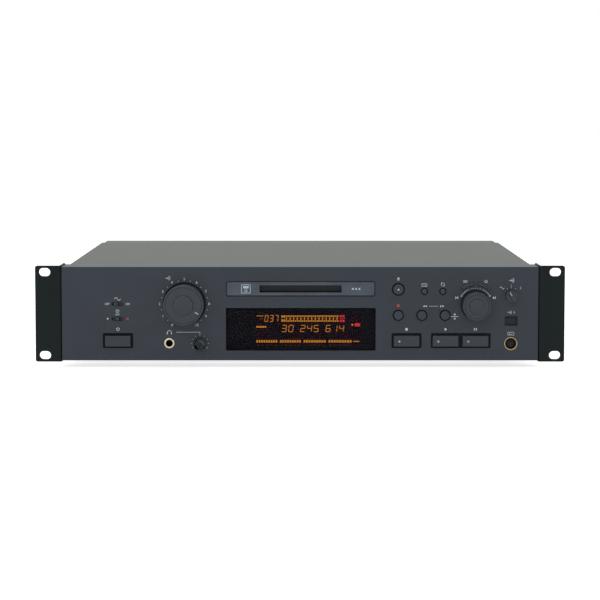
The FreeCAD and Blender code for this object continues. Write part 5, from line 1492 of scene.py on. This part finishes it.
@dataclass
class Icons:
    """Plain pictograms, drawn with lines, arcs and dots onto one sheet.

    Each is given the place of its middle, and its radius, half its width or its width
    and height, in millimetres.

    Attributes:
        sheet: The drawing that they go onto.
        out: The height of the ink over the panel.
        line: The width of their lines in millimetres.
    """

    sheet: Draft
    out: float = 0.04
    line: float = 0.4

    def stroke(self, start: tuple[float, float], end: tuple[float, float],
               width: Optional[float] = None) -> None:
        """Draws a straight line between two points.

        Args:
            start: One end.
            end: The other end.
            width: Its width, where it isn't that of the other lines.
        """
        across, rise = end[0] - start[0], end[1] - start[1]
        middle = ((start[0] + end[0]) / 2, (start[1] + end[1]) / 2)
        self.sheet.bar(middle, width or self.line, math.hypot(across, rise), self.out,
                       turn=math.degrees(math.atan2(across, rise)))

    def headphones(self, at: tuple[float, float], radius: float) -> None:
        """A headband with two ear pads."""
        self.sheet.arc(at, radius, self.line, (-90, 90), self.out)
        for side in (-1, 1):
            self.sheet.bar((at[0] + side * radius, at[1] - radius * 0.4), self.line * 2.2,
                           radius * 0.9, self.out)

    def power(self, at: tuple[float, float], radius: float) -> None:
        """A broken circle with a line at its top."""
        self.sheet.arc(at, radius, self.line, (35, 325), self.out)
        self.stroke((at[0], at[1] + radius * 0.2), (at[0], at[1] + radius * 1.25))

    def clock(self, at: tuple[float, float], radius: float) -> None:
        """A clock's ring with two hands."""
        self.sheet.arc(at, radius, self.line * 0.8, (0, 350), self.out)
        self.stroke(at, (at[0], at[1] + radius * 0.7), self.line * 0.8)
        self.stroke(at, (at[0] + radius * 0.5, at[1]), self.line * 0.8)

    def wave(self, at: tuple[float, float], radius: float) -> None:
        """One turn of a wave."""
        self.sheet.arc((at[0] - radius, at[1]), radius, self.line, (-90, 90), self.out)
        self.sheet.arc((at[0] + radius, at[1]), radius, self.line, (90, 270), self.out)

    def into(self, at: tuple[float, float], size: float) -> None:
        """An arrow that runs into a bracket: an input."""
        x, up = at
        self.stroke((x - size, up), (x + size * 0.1, up))
        self.sheet.triangle((x + size * 0.2, up), size * 0.5, self.out, turn=90)
        self.stroke((x + size, up - size * 0.7), (x + size, up + size * 0.7))
        for side in (-1, 1):
            self.stroke((x + size * 0.4, up + side * size * 0.7),
                        (x + size, up + side * size * 0.7))

    def screen(self, at: tuple[float, float], width: float, height: float) -> None:
        """A framed screen with a line of writing."""
        self.sheet.outline(at, (width, height), self.line * 0.8, self.out)
        self.sheet.bar(at, width * 0.6, self.line * 0.8, self.out)

    def loop(self, at: tuple[float, float], radius: float) -> None:
        """Two turning arrows: the play order."""
        for start in (20, 200):
            self.sheet.arc(at, radius, self.line, (start, start + 120), self.out)
            self.sheet.triangle(on_circle(at, radius, start + 130), radius * 0.5, self.out,
                                turn=start + 220)

    def search(self, at: tuple[float, float], size: float, turn: float) -> None:
        """Two triangles that point the same way."""
        for side in (-0.75, 0.75):
            self.sheet.triangle((at[0] + side * size, at[1]), size * 0.8, self.out, turn=turn)

    def eject(self, at: tuple[float, float], size: float) -> None:
        """A triangle over a bar."""
        self.sheet.triangle((at[0], at[1] + size * 0.2), size, self.out)
        self.sheet.bar((at[0], at[1] - size * 0.9), size * 1.8, self.line, self.out)

    def keyboard(self, at: tuple[float, float], width: float, height: float) -> None:
        """A keyboard's frame with a row of keys and its long key."""
        self.sheet.outline(at, (width, height), self.line * 0.7, self.out)
        for index in range(5):
            x = at[0] + (index - 2) * width * 0.17
            self.sheet.disc((x, at[1] + height * 0.16), self.line * 0.4, self.out, sides=8)
        self.sheet.bar((at[0], at[1] - height * 0.2), width * 0.5, self.line * 0.8, self.out)


@dataclass
class PanelPrint:
    """All the printing on the panel: the scales, the pictograms, numerals and lines.

    Attributes:
        ink: The height of the ink over the panel, in millimetres.
        dial_radius: Radius of the level dial's numerals.
        dial_height: Their height.
        dial_from: The angle of the dial's zero, clockwise from up.
        dial_step: From one numeral to the next, in degrees.
        dial_last: The last numeral.
        dot_radius: Radius of the dots between the numerals and round the selector.
        phones_radius: Radius of the ticks round the phones knob.
        arc_radius: Radius of the lines beside the track knob.
        arc_angles: Where these lines start and end.
        over_key: From the middle of a transport key to its mark over it.
        over_search: From the middle of a search key to its mark over it.
        small: Height of the small numerals and of ON and OFF.
        white: The sheet for the white ink.
        red: The sheet for the red ink.
    """

    ink: float = 0.04
    dial_radius: float = 22.6
    dial_height: float = 2.3
    dial_from: float = -150.0
    dial_step: float = 30.0
    dial_last: int = 10
    dot_radius: float = 0.34
    phones_radius: float = 7.6
    arc_radius: float = 15.4
    arc_angles: tuple[float, float] = (24.0, 54.5)
    over_key: float = 10.7
    over_search: float = 8.3
    small: float = 1.75
    white: Draft = field(default_factory=Draft)
    red: Draft = field(default_factory=Draft)

    def level_dial(self) -> None:
        """Numerals 0 to 10 round the level knob, with dots between."""
        at = Draft.at_node("input_knob")
        for number in range(self.dial_last + 1):
            angle = self.dial_from + number * self.dial_step
            self.white.words(str(number), on_circle(at, self.dial_radius, angle),
                             self.dial_height, self.ink, bold=0.015)
            if number < self.dial_last:
                self.white.disc(on_circle(at, self.dial_radius - 1.2,
                                               angle + self.dial_step / 2),
                                self.dot_radius, self.ink, sides=16)
        Icons(self.white, self.ink).into((at[0] - 15.2, at[1] + 23.4), 2.1)

    def phones(self) -> None:
        """Ticks round the phones knob, the line from it to its socket and the pictogram."""
        at = Draft.at_node("phones_knob")
        jack = Draft.at_node("phones_jack_nut")
        for index in range(9):
            angle = -120 + index * 30
            middle = on_circle(at, self.phones_radius, angle)
            self.white.bar(middle, 0.32, 1.3 if index % 4 == 0 else 0.9, self.ink, turn=angle)
        icons = Icons(self.white, self.ink, line=0.34)
        line_up = at[1] + 10.4
        icons.stroke((jack[0] + 6.4, line_up), (at[0], line_up))
        icons.stroke((at[0], line_up + 0.17), (at[0], line_up - 2.0))
        Icons(self.white, self.ink).headphones((jack[0], line_up - 0.3), 1.8)

    def switches(self) -> None:
        """What stands over the two slide switches and the power key."""
        icons = Icons(self.white, self.ink)
        x, up = Draft.at_node("timer_slider")
        pitch_up = Draft.at_node("pitch_slider")[1]
        for side, word in ((-1, "OFF"), (1, "ON")):
            self.white.words(word, (x + side * 9.3, pitch_up), self.small, self.ink)
        icons.wave((x, pitch_up + 4.6), 1.25)
        icons.clock((x, up + 7.1), 1.35)
        icons.sheet.triangle((x - 9.0, up), 1.15, self.ink, turn=90)
        self.white.words("OFF", (x, up + 3.9), self.small * 0.9, self.ink)
        self.red.disc((x + 9.2, up), 0.95, self.ink, sides=20)
        x, up = Draft.at_node("power_button")
        icons.power((x, up + 11.0), 1.3)

    def transport(self) -> None:
        """Pictograms over the round keys and the transport keys."""
        icons = Icons(self.white, self.ink)
        x, up = Draft.at_node("eject_button")
        icons.eject((x, up + 9.8), 1.35)
        x, up = Draft.at_node("display_button")
        icons.screen((x, up + 5.9), 4.6, 2.5)
        x, up = Draft.at_node("play_mode_button")
        icons.loop((x, up + 6.4), 1.5)
        x, up = Draft.at_node("record_button")
        self.red.disc((x, up + 8.9), 1.25, self.ink, sides=24)
        back = Draft.at_node("search_back_button")
        forward = Draft.at_node("search_forward_button")
        line_up = back[1] + self.over_search
        icons.search((back[0] + 3.0, line_up), 1.35, turn=-90)
        icons.search((forward[0] - 3.0, forward[1] + self.over_search), 1.35, turn=90)
        icons.stroke((back[0] + 6.8, line_up), (forward[0] - 6.8, line_up), 0.28)
        x, up = Draft.at_node("stop_button")
        self.white.bar((x, up + self.over_key), 2.2, 2.2, self.ink)
        x, up = Draft.at_node("play_button")
        self.white.triangle((x, up + self.over_key), 1.55, self.ink, turn=90)
        x, up = Draft.at_node("ready_button")
        for side in (-1, 1):
            self.white.bar((x + side * 0.85, up + self.over_key), 0.75, 2.3, self.ink)

    def track_knob(self) -> None:
        """The curved lines beside the track knob and the marks at their ends."""
        at = Draft.at_node("jog_knob")
        icons = Icons(self.white, self.ink)
        start, end = self.arc_angles
        self.white.arc(at, self.arc_radius, 0.4, (start, end), self.ink)
        self.white.arc(at, self.arc_radius, 0.4, (-end, -start), self.ink)
        for degrees in (-16, -8, 0, 8, 16):
            self.white.disc(on_circle(at, self.arc_radius, degrees), 0.35, self.ink, sides=12)
        for side in (-1, 1):
            tip = on_circle(at, self.arc_radius, side * (end + 3.0))
            self.white.triangle(tip, 1.0, self.ink, turn=side * (end + 90.0))
            x = at[0] + side * 17.0
            self.white.triangle((x - side * 0.5, at[1] + 6.6), 1.3, self.ink, turn=side * 90)
            icons.stroke((x + side * 1.1, at[1] + 5.4), (x + side * 1.1, at[1] + 7.8), 0.5)
        x, up = at[0] - 18.9, at[1] - 10.6
        for offset in (-1.9, 1.9):
            self.white.triangle((x, up + offset), 1.25, self.ink, turn=90 + offset * 47)
        icons.stroke((x - 3.3, up), (x + 3.3, up), 0.45)
        far, aside = 22.6 + 2.2 * 0.4, 23.5
        icons.screen(on_circle(at, far, -aside), 3.2, 1.7)
        self.white.arc(on_circle(at, far, aside), 1.1, 0.4, (0, 350), self.ink)

    def inputs(self) -> None:
        """The scale of the input selector and the marks over the sockets."""
        icons = Icons(self.white, self.ink)
        at = Draft.at_node("selector_knob")
        for angle in (-30, 0, 30):
            self.white.disc(on_circle(at, 7.4, angle), self.dot_radius, self.ink, sides=16)
        icons.into((at[0], at[1] + 14.0), 2.1)
        self.white.words("1", (at[0], at[1] + 9.4), self.small, self.ink)
        icons.wave((at[0] - 8.4, at[1] + 7.2), 0.95)
        self.white.words("2", (at[0] + 8.4, at[1] + 7.2), self.small, self.ink)
        x, up = Draft.at_node("optical_in_socket")
        icons.into((x - 1.6, up + 8.0), 1.6)
        self.white.words("2", (x + 2.6, up + 8.0), self.small, self.ink)
        x, up = Draft.at_node("keyboard_socket")
        icons.keyboard((x, up + 9.0), 5.6, 2.6)

    def build(self) -> None:
        """Prints the panel in two inks."""
        self.level_dial()
        self.phones()
        self.switches()
        self.transport()
        self.track_knob()
        self.inputs()
        publish("panel_print_white", self.white.place(), WHITE_INK, "root")
        publish("panel_print_red", self.red.place(), RED_INK, "root")


@dataclass
class SlotTrim:
    """What is printed on the slot's frame: a cartridge at its left, arrows at its right.

    Attributes:
        cartridge: Width and height of the cartridge's picture, in millimetres.
        line: Width of its outline.
        left: Where it stands from the frame's middle.
        right: Where the arrows stand.
        arrow: The size of an arrow.
    """

    cartridge: tuple[float, float] = (8.0, 7.6)
    line: float = 0.5
    left: float = -49.8
    right: float = 50.6
    arrow: float = 1.45

    def build(self) -> None:
        """Prints the cartridge and the arrows."""
        x, up = Draft.at_node("slot_frame")
        out = Draft.out_of("slot_frame") + MARK_LIFT
        marks = Draft()
        width, height = self.cartridge
        middle = x + self.left
        marks.outline((middle, up), self.cartridge, self.line, out)
        marks.bar((middle, up + height * 0.2), width * 0.62, height * 0.28, out)
        marks.arc((middle, up - height * 0.22), 1.1, 0.45, (0, 350), out)
        for offset in (-3.0, 0.0, 3.0):
            marks.triangle((x + self.right + offset, up), self.arrow, out, turn=-90)
        publish("marks_beside_slot", marks.place(), PALE_INK, "root")


@dataclass
class SocketTrim:
    """Rings of the sockets: the keyboard socket's gold ring and the phono collars.

    Attributes:
        ring_outer: Outer radius of the gold ring in millimetres.
        ring_inner: Its inner radius.
        ring_lift: How far it stands over the shell.
        ring_back: The height of its back end, below zero behind the panel's face.
        lip_outer: Outer radius of the phones socket's plated lip.
        lip_inner: Its inner radius.
        lip_lift: How far it stands over the nut.
        lip_back: The height of its back end.
        ring_edge: Size of the ring's and the lip's soft edges.
        collar_radius: Outer radius of a phono socket's insulating collar.
        collar_bore: Its inner radius.
        collar_bevel: Size of its bevelled edge.
        collar_thick: Its thickness.
        pitch: From one phono socket to the next, across and up.
        columns: How many pairs of phono sockets there are.
    """

    ring_outer: float = 6.05
    ring_inner: float = 5.1
    ring_lift: float = 0.06
    ring_back: float = -2.6
    lip_outer: float = 4.0
    lip_inner: float = 3.2
    lip_lift: float = 0.08
    lip_back: float = -2.0
    ring_edge: float = 0.3
    collar_radius: float = 6.2
    collar_bore: float = 4.2
    collar_bevel: float = 0.3
    collar_thick: float = 1.4
    pitch: tuple[float, float] = (22.0, 18.0)
    columns: int = 3

    def gold_ring(self) -> None:
        """A turned ring over the keyboard socket's shell."""
        at = Draft.at_node("keyboard_socket")
        out = Draft.out_of("keyboard_socket") + self.ring_lift
        low = self.ring_back
        outer, inner, edge = self.ring_outer, self.ring_inner, self.ring_edge
        profile = [(inner, low), (inner, out - edge)]
        profile += [(inner + edge * 0.3, out - edge * 0.3), (inner + edge, out)]
        profile += [(outer - edge, out), (outer - edge * 0.3, out - edge * 0.3),
                    (outer, out - edge), (outer, low), (inner, low)]
        ring = Draft().turned(at, profile, steps=96)
        publish("gold_ring_of_keyboard_socket", ring.place(), RING_GOLD, "root")

    def jack_lip(self) -> None:
        """The plated front end of the phones socket's bush, inside its nut."""
        at = Draft.at_node("phones_jack_nut")
        out = Draft.out_of("phones_jack_nut") + self.lip_lift
        outer, inner, edge = self.lip_outer, self.lip_inner, self.ring_edge
        low = self.lip_back
        bevel, thick, wall = 0.1, 0.3, 0.15
        profile = [(inner, low), (inner, out - edge), (inner + edge * 0.3, out - edge * 0.3),
                   (inner + edge, out), (outer - bevel, out), (outer, out - bevel),
                   (outer, out - thick), (inner + wall, out - thick), (inner + wall, low),
                   (inner, low)]
        lip = Draft().turned(at, profile, steps=72)
        publish("plated_lip_of_phones_jack", lip.place(), SOCKET_NICKEL, "root")

    def collars(self) -> None:
        """Red and white collars round the phono sockets on the rear panel."""
        low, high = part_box("phono_sockets")
        middle_x = (low.x + high.x) / 2 / MM
        middle_up = ((low.z + high.z) / 2 - Draft.MIDDLE_Z) / MM
        face = Draft.back_of("rear_panel")
        tip = face - self.collar_thick
        profile = [(self.collar_bore, face), (self.collar_bore, tip),
                   (self.collar_radius - self.collar_bevel, tip),
                   (self.collar_radius, tip + self.collar_bevel),
                   (self.collar_radius, face), (self.collar_bore, face)]
        for finish, side in ((COLLAR_WHITE, 1), (COLLAR_RED, -1)):
            rings = Draft()
            for column in range(self.columns):
                at = (middle_x + (column - (self.columns - 1) / 2) * self.pitch[0],
                      middle_up + side * self.pitch[1] / 2)
                rings.turned(at, profile, steps=48)
            publish(finish.name, rings.place(), finish, "root")

    def build(self) -> None:
        """Makes the ring, the lip and the collars."""
        self.gold_ring()
        self.jack_lip()
        self.collars()


@dataclass
class RearPrint:
    """White printing on the rear panel: a frame round the phono sockets and numerals.

    Attributes:
        ink: The height of the ink over the rear panel, in millimetres.
        line: Width of the frame's lines.
        width: Width of the frame.
        margin: How much higher the frame is than the group of sockets.
        numeral: Height of the numerals, and from the frame to their middle.
        columns: How many pairs of sockets there are.
        pitch: From one pair to the next.
    """

    ink: float = 0.05
    line: float = 0.4
    width: float = 66.0
    margin: float = 6.0
    numeral: float = 2.6
    columns: int = 3
    pitch: float = 22.0

    def build(self) -> None:
        """Prints the frame, and a numeral over each pair of sockets."""
        low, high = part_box("phono_sockets")
        out = Draft.back_of("rear_panel") - self.ink
        sheet = Draft()
        middle = ((low.x + high.x) / 2 / MM, ((low.z + high.z) / 2 - Draft.MIDDLE_Z) / MM)
        height = (high.z - low.z) / MM + self.margin
        for column in range(self.columns):
            x = middle[0] + (column - (self.columns - 1) / 2) * self.pitch
            sheet.words(str(self.columns - column),
                        (x, middle[1] + height / 2 + self.numeral), self.numeral, out)
        sheet.outline(middle, (self.width, height), self.line, out)
        mirror = Matrix.Translation((middle[0], 0, 0)) @ Matrix.Diagonal((-1, 1, 1, 1))
        mirror = mirror @ Matrix.Translation((-middle[0], 0, 0))
        bmesh.ops.transform(sheet.shape, matrix=mirror, verts=sheet.shape.verts[:])
        publish("rear_print", sheet.place(), WHITE_INK, "root")


@dataclass
class CaseFinish:
    """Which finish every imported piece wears.

    Attributes:
        worn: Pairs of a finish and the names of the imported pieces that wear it.
    """

    worn: tuple[tuple[object, tuple[str, ...]], ...] = (
        (COVER_COAT, ("top_cover",)),
        (PANEL_COAT, ("front_bezel",)),
        (EAR_COAT, ("rack_ear_left", "rack_ear_right")),
        (REAR_COAT, ("rear_panel",)),
        (FRAME_ANODISED, ("slot_frame",)),
        (DOOR_ABS, ("slot_door", "optical_shutter")),
        (SmokedAcrylic(), ("display_window",)),
        (TUBE_DARK, ("display_tube",)),
        (BOARD_MASK, ("front_board", "main_board")),
        (KEY_ABS, ("power_button", "stop_button", "play_button", "ready_button", "edit_button",
                   "yes_button", "pitch_slider", "timer_slider", "eject_button",
                   "display_button", "play_mode_button", "record_button",
                   "search_back_button", "search_forward_button")),
        (KNOB_ABS, ("input_knob", "jog_knob", "phones_knob")),
        (SOCKET_ABS, ("selector_knob", "power_switch", "key_switches", "slide_switches",
                      "phones_pot", "selector_switch", "phones_jack", "optical_in_socket",
                      "keyboard_socket", "ac_inlet", "pickup_sled")),
        (MOTOR_CAN, ("input_pot", "jog_encoder", "disc_motor", "sled_motor")),
        (SHAFT_STEEL, ("input_shaft", "jog_shaft", "sled_rails", "lead_screw")),
        (SOCKET_NICKEL, ("phones_jack_nut", "phono_sockets")),
        (ZINC_SHEET, ("chassis_pan", "mech_deck", "cartridge_holder", "head_arm")),
        (HUB_ACETAL, ("turntable", "jog_rotor")),
        (CORE_VARNISH, ("transformer",)),
        (SCREW_OXIDE, ("case_screws", "ear_screws")),
        (FOOT_RUBBER, ("feet",)),
    )

    def build(self) -> None:
        """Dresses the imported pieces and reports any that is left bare."""
        dressed: set[str] = set()
        for finish, nodes in self.worn:
            FINISHES.dress(finish, nodes)
            dressed.update(nodes)
        bare = sorted(set(frame["nodes"]) - dressed)
        LOG.info("packed pieces dressed: %d, bare: %s", len(dressed), bare)


@dataclass
class ScrewRecesses:
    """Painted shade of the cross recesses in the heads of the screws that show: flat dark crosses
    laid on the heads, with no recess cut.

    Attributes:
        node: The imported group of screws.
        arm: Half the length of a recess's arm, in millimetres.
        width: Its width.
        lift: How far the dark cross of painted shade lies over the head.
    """

    node: str
    arm: float
    width: float
    lift: float = 0.02

    def heads(self) -> list[tuple[Vector, Vector]]:
        """The middle of each head's outer face and the way it looks."""
        copy = bmesh.new()
        copy.from_mesh(frame["nodes"][self.node].data)
        bmesh.ops.remove_doubles(copy, verts=copy.verts[:], dist=0.001 * MM)
        found = []
        seen: set[bmesh.types.BMVert] = set()
        for start in copy.verts:
            if start not in seen:
                screw = {vert for face in Draft.island([start]) for vert in face.verts}
                seen |= screw
                found.append(self.head_of([vert.co for vert in screw]))
        copy.free()
        return found

    @staticmethod
    def head_of(points: list[Vector]) -> tuple[Vector, Vector]:
        """Finds a screw's long axis and the end where its wide head is.

        Args:
            points: The screw's corners, in metres.

        Returns:
            The middle of the head's outer face and the way it looks.
        """
        low = Vector([min(point[axis] for point in points) for axis in range(3)])
        high = Vector([max(point[axis] for point in points) for axis in range(3)])
        size = high - low
        middle = (low + high) / 2
        ways = []
        for axis in range(3):
            others = [size[other] for other in range(3) if other != axis]
            ways.append((abs(others[0] - others[1]), axis))
        axis = min(ways)[1]
        for side in (-1, 1):
            end = (high if side > 0 else low)[axis]
            near = [point for point in points if abs(point[axis] - end) < 0.4 * MM]
            others = [other for other in range(3) if other != axis]
            reach = max(math.hypot(*((point - middle)[other] for other in others))
                        for point in near)
            if reach > min(size[other] for other in others) * 0.45:
                out = Vector((0, 0, 0))
                out[axis] = side
                place = middle.copy()
                place[axis] = end
                return place, out
        return middle, Vector((0, 0, 1))

    def build(self) -> None:
        """Makes all the painted shade crosses of the group as one piece."""
        crosses = bmesh.new()
        for place, out in self.heads():
            across = out.orthogonal().normalized()
            for way in (across, out.cross(across)):
                turn = Matrix((way, out.cross(way), out)).transposed().to_4x4()
                matrix = (Matrix.Translation(place) @ turn
                          @ Matrix.Diagonal((2 * self.arm * MM, self.width * MM,
                                             2 * self.lift * MM, 1)))
                bmesh.ops.create_cube(crosses, size=1.0, matrix=matrix)
        publish("recess_shades_of_" + self.node, crosses, SOCKET_ABS, "root",
                clean=False)


@dataclass
class Studio:
    """A plain pale floor, soft lamps, an even sky and the camera.

    Attributes:
        floor_colour: Hex colour of the floor's paper.
        floor_thin: Hex colour between its fibres.
        floor_size: Length of the floor's side, in metres.
        eye_out: How far the camera stands in front of the panel, in metres.
        eye_up: How high it stands over the panel's middle line.
        lens: Its focal length on a 36 mm sensor.
        drop: How far it looks down, in degrees.
        shift_up: The lens's shift, in widths of the picture.
        sky: How strongly the sky lights the object.
        lift: How much the floor near the object is lightened to the eye.
        far: Distances from the object between which the floor goes over to plain white.
    """

    floor_colour: str = "e4e5e4"
    floor_thin: str = "e1e2e1"
    floor_size: float = 14.0
    eye_out: float = 1.2281
    eye_up: float = 0.1867
    lens: float = 81.36
    drop: float = 3.04
    shift_up: float = -0.1988
    sky: float = 0.46
    lift: float = 0.7
    far: tuple[float, float] = (0.7, 1.9)

    def floor(self) -> None:
        """Lays the floor."""
        plane = bmesh.new()
        bmesh.ops.create_grid(plane, x_segments=1, y_segments=1, size=self.floor_size / 2)
        mesh = bpy.data.meshes.new("studio_floor")
        plane.to_mesh(mesh)
        plane.free()
        material, tree, shader = new_material("studio_floor_paper")
        fibre = grain(tree, 1.5, detail=2.0)
        feed(shader, {"Base Color": shade(tree, fibre, self.floor_thin, self.floor_colour),
                      "Roughness": 0.85, "Specular IOR Level": 0.2})
        self.whiten(tree, shader)
        mesh.materials.append(material)
        floor = bpy.data.objects.new("studio_floor", mesh)
        bpy.context.scene.collection.objects.link(floor)

    @staticmethod
    def seen_rays(tree: bpy.types.NodeTree) -> bpy.types.NodeSocket:
        """One for rays of the eye, of a reflection or through glass, nought for light.

        Args:
            tree: The node tree that asks.

        Returns:
            The value's socket.
        """
        path = add_node(tree, "LightPath")
        first = add_node(tree, "Math", {"operation": "MAXIMUM"},
                         {0: path.outputs["Is Camera Ray"], 1: path.outputs["Is Glossy Ray"]})
        both = add_node(tree, "Math", {"operation": "MAXIMUM"},
                        {0: first.outputs["Value"], 1: path.outputs["Is Transmission Ray"]})
        return both.outputs["Value"]

    def whiten(self, tree: bpy.types.NodeTree, shader: bpy.types.Node) -> None:
        """Lightens the floor to the eye, up to plain white far from the object.

        Args:
            tree: The floor material's node tree.
            shader: Its surface shader, which takes the light and the shadow.
        """
        seen = self.seen_rays(tree)
        coords = add_node(tree, "TexCoord")
        away = add_node(tree, "VectorMath", {"operation": "LENGTH"},
                        {0: coords.outputs["Object"]})
        share = spread(tree, away.outputs["Value"], 0.0, 1.0, self.far)
        strength = add_node(tree, "Math", {"operation": "MULTIPLY"},
                            {0: seen, 1: spread(tree, share, self.lift, 1.0)})
        white = add_node(tree, "Emission", links={"Strength": strength.outputs["Value"]})
        fade = add_node(tree, "Math", {"operation": "MULTIPLY"}, {0: seen, 1: share})
        dark = add_node(tree, "Emission", {"Strength": 0.0})
        kept = add_node(tree, "MixShader", links={0: fade.outputs["Value"],
                                                  1: shader.outputs["BSDF"],
                                                  2: dark.outputs["Emission"]})
        both = add_node(tree, "AddShader", links={0: kept.outputs["Shader"],
                                                  1: white.outputs["Emission"]})
        output = next(node for node in tree.nodes if node.type == "OUTPUT_MATERIAL")
        tree.links.new(both.outputs["Shader"], output.inputs["Surface"])

    def lamp(self, name: str, place: tuple[float, float, float], aim: tuple[float, float, float],
             size: tuple[float, float], power: float, colour: str = "ffffff") -> None:
        """Hangs one soft area lamp.

        Args:
            name: Its name.
            place: Where it hangs.
            aim: The point that it looks at.
            size: Its width and height in metres.
            power: Its power in watts.
            colour: Hex colour of its light.
        """
        data = bpy.data.lights.new(name, "AREA")
        data.shape = "RECTANGLE"
        data.size, data.size_y = size
        data.energy = power
        data.color = linear(colour)[:3]
        lamp = bpy.data.objects.new(name, data)
        lamp.location = place
        lamp.rotation_euler = (Vector(aim) - Vector(place)).to_track_quat("-Z", "Y").to_euler()
        bpy.context.scene.collection.objects.link(lamp)

    def lamps(self) -> None:
        """Hangs the lamps: over the front, above, behind, and one at each side."""
        middle = (0.0, Draft.FACE_Y, 0.05)
        warm, cool = "fffaf2", "f4f8ff"
        self.lamp("softbox_front", (-0.5, -1.9, 1.5), middle, (1.6, 1.1), 12.5, warm)
        self.lamp("softbox_over", (0.0, -0.25, 1.3), middle, (2.0, 0.5), 7.5, cool)
        self.lamp("softbox_back", (0.0, 1.1, 1.5), (0.0, 0.0, 0.09), (2.4, 1.0), 5.0, cool)
        self.lamp("softbox_left", (-2.0, -0.4, 0.9), middle, (0.8, 0.9), 6.0)
        self.lamp("softbox_right", (2.0, -0.5, 0.9), middle, (0.8, 0.9), 6.0)

    def world(self) -> None:
        """Sets an even sky that shows as near-white to the camera, to metal and to glass."""
        world = bpy.data.worlds.new("studio_sky")
        world.use_nodes = True
        tree = world.node_tree
        tree.nodes.clear()
        strength = spread(tree, self.seen_rays(tree), self.sky, 1.0, (0.0, 1.0))
        ground = add_node(tree, "Background", {"Color": linear("ffffff")}, {"Strength": strength})
        add_node(tree, "OutputWorld", links={"Surface": ground.outputs["Background"]})
        bpy.context.scene.world = world

    def camera(self) -> None:
        """Sets up the camera a little over the panel, looking slightly down."""
        data = bpy.data.cameras.new("camera")
        data.lens = self.lens
        data.sensor_width = 36.0
        data.shift_y = self.shift_up
        camera = bpy.data.objects.new("camera", data)
        camera.location = (0.0, Draft.FACE_Y - self.eye_out, Draft.MIDDLE_Z + self.eye_up)
        camera.rotation_euler = (math.radians(90 - self.drop), 0.0, 0.0)
        bpy.context.scene.collection.objects.link(camera)
        bpy.context.scene.camera = camera

    def build(self) -> None:
        """Sets up the whole studio."""
        self.floor()
        self.lamps()
        self.world()
        self.camera()
        bpy.context.scene.view_settings.view_transform = "Standard"


def main() -> None:
    """Builds the deck's sub-assemblies in order, then the studio."""
    logging.basicConfig(level=logging.INFO, format="%(name)s: %(message)s")
    CaseFinish().build()
    TurnedKnob("input_knob", "input_control", hub_radius=8.8, hub_rise=2.0, pointer=120.0).build()
    TurnedKnob("jog_knob", "jog_control", hub_radius=6.8, hub_rise=1.6).build()
    PhonesKnob().build()
    SelectorKnob().build()
    RoundKeys().build()
    DustSeals().build()
    KeyMarks().build()
    SliderCaps().build()
    Display().build()
    PanelPrint().build()
    SlotTrim().build()
    SocketTrim().build()
    RearPrint().build()
    ScrewRecesses("case_screws", arm=1.5, width=0.6).build()
    ScrewRecesses("ear_screws", arm=2.0, width=0.8).build()
    Studio().build()


if __name__ == "__main__":
    main()
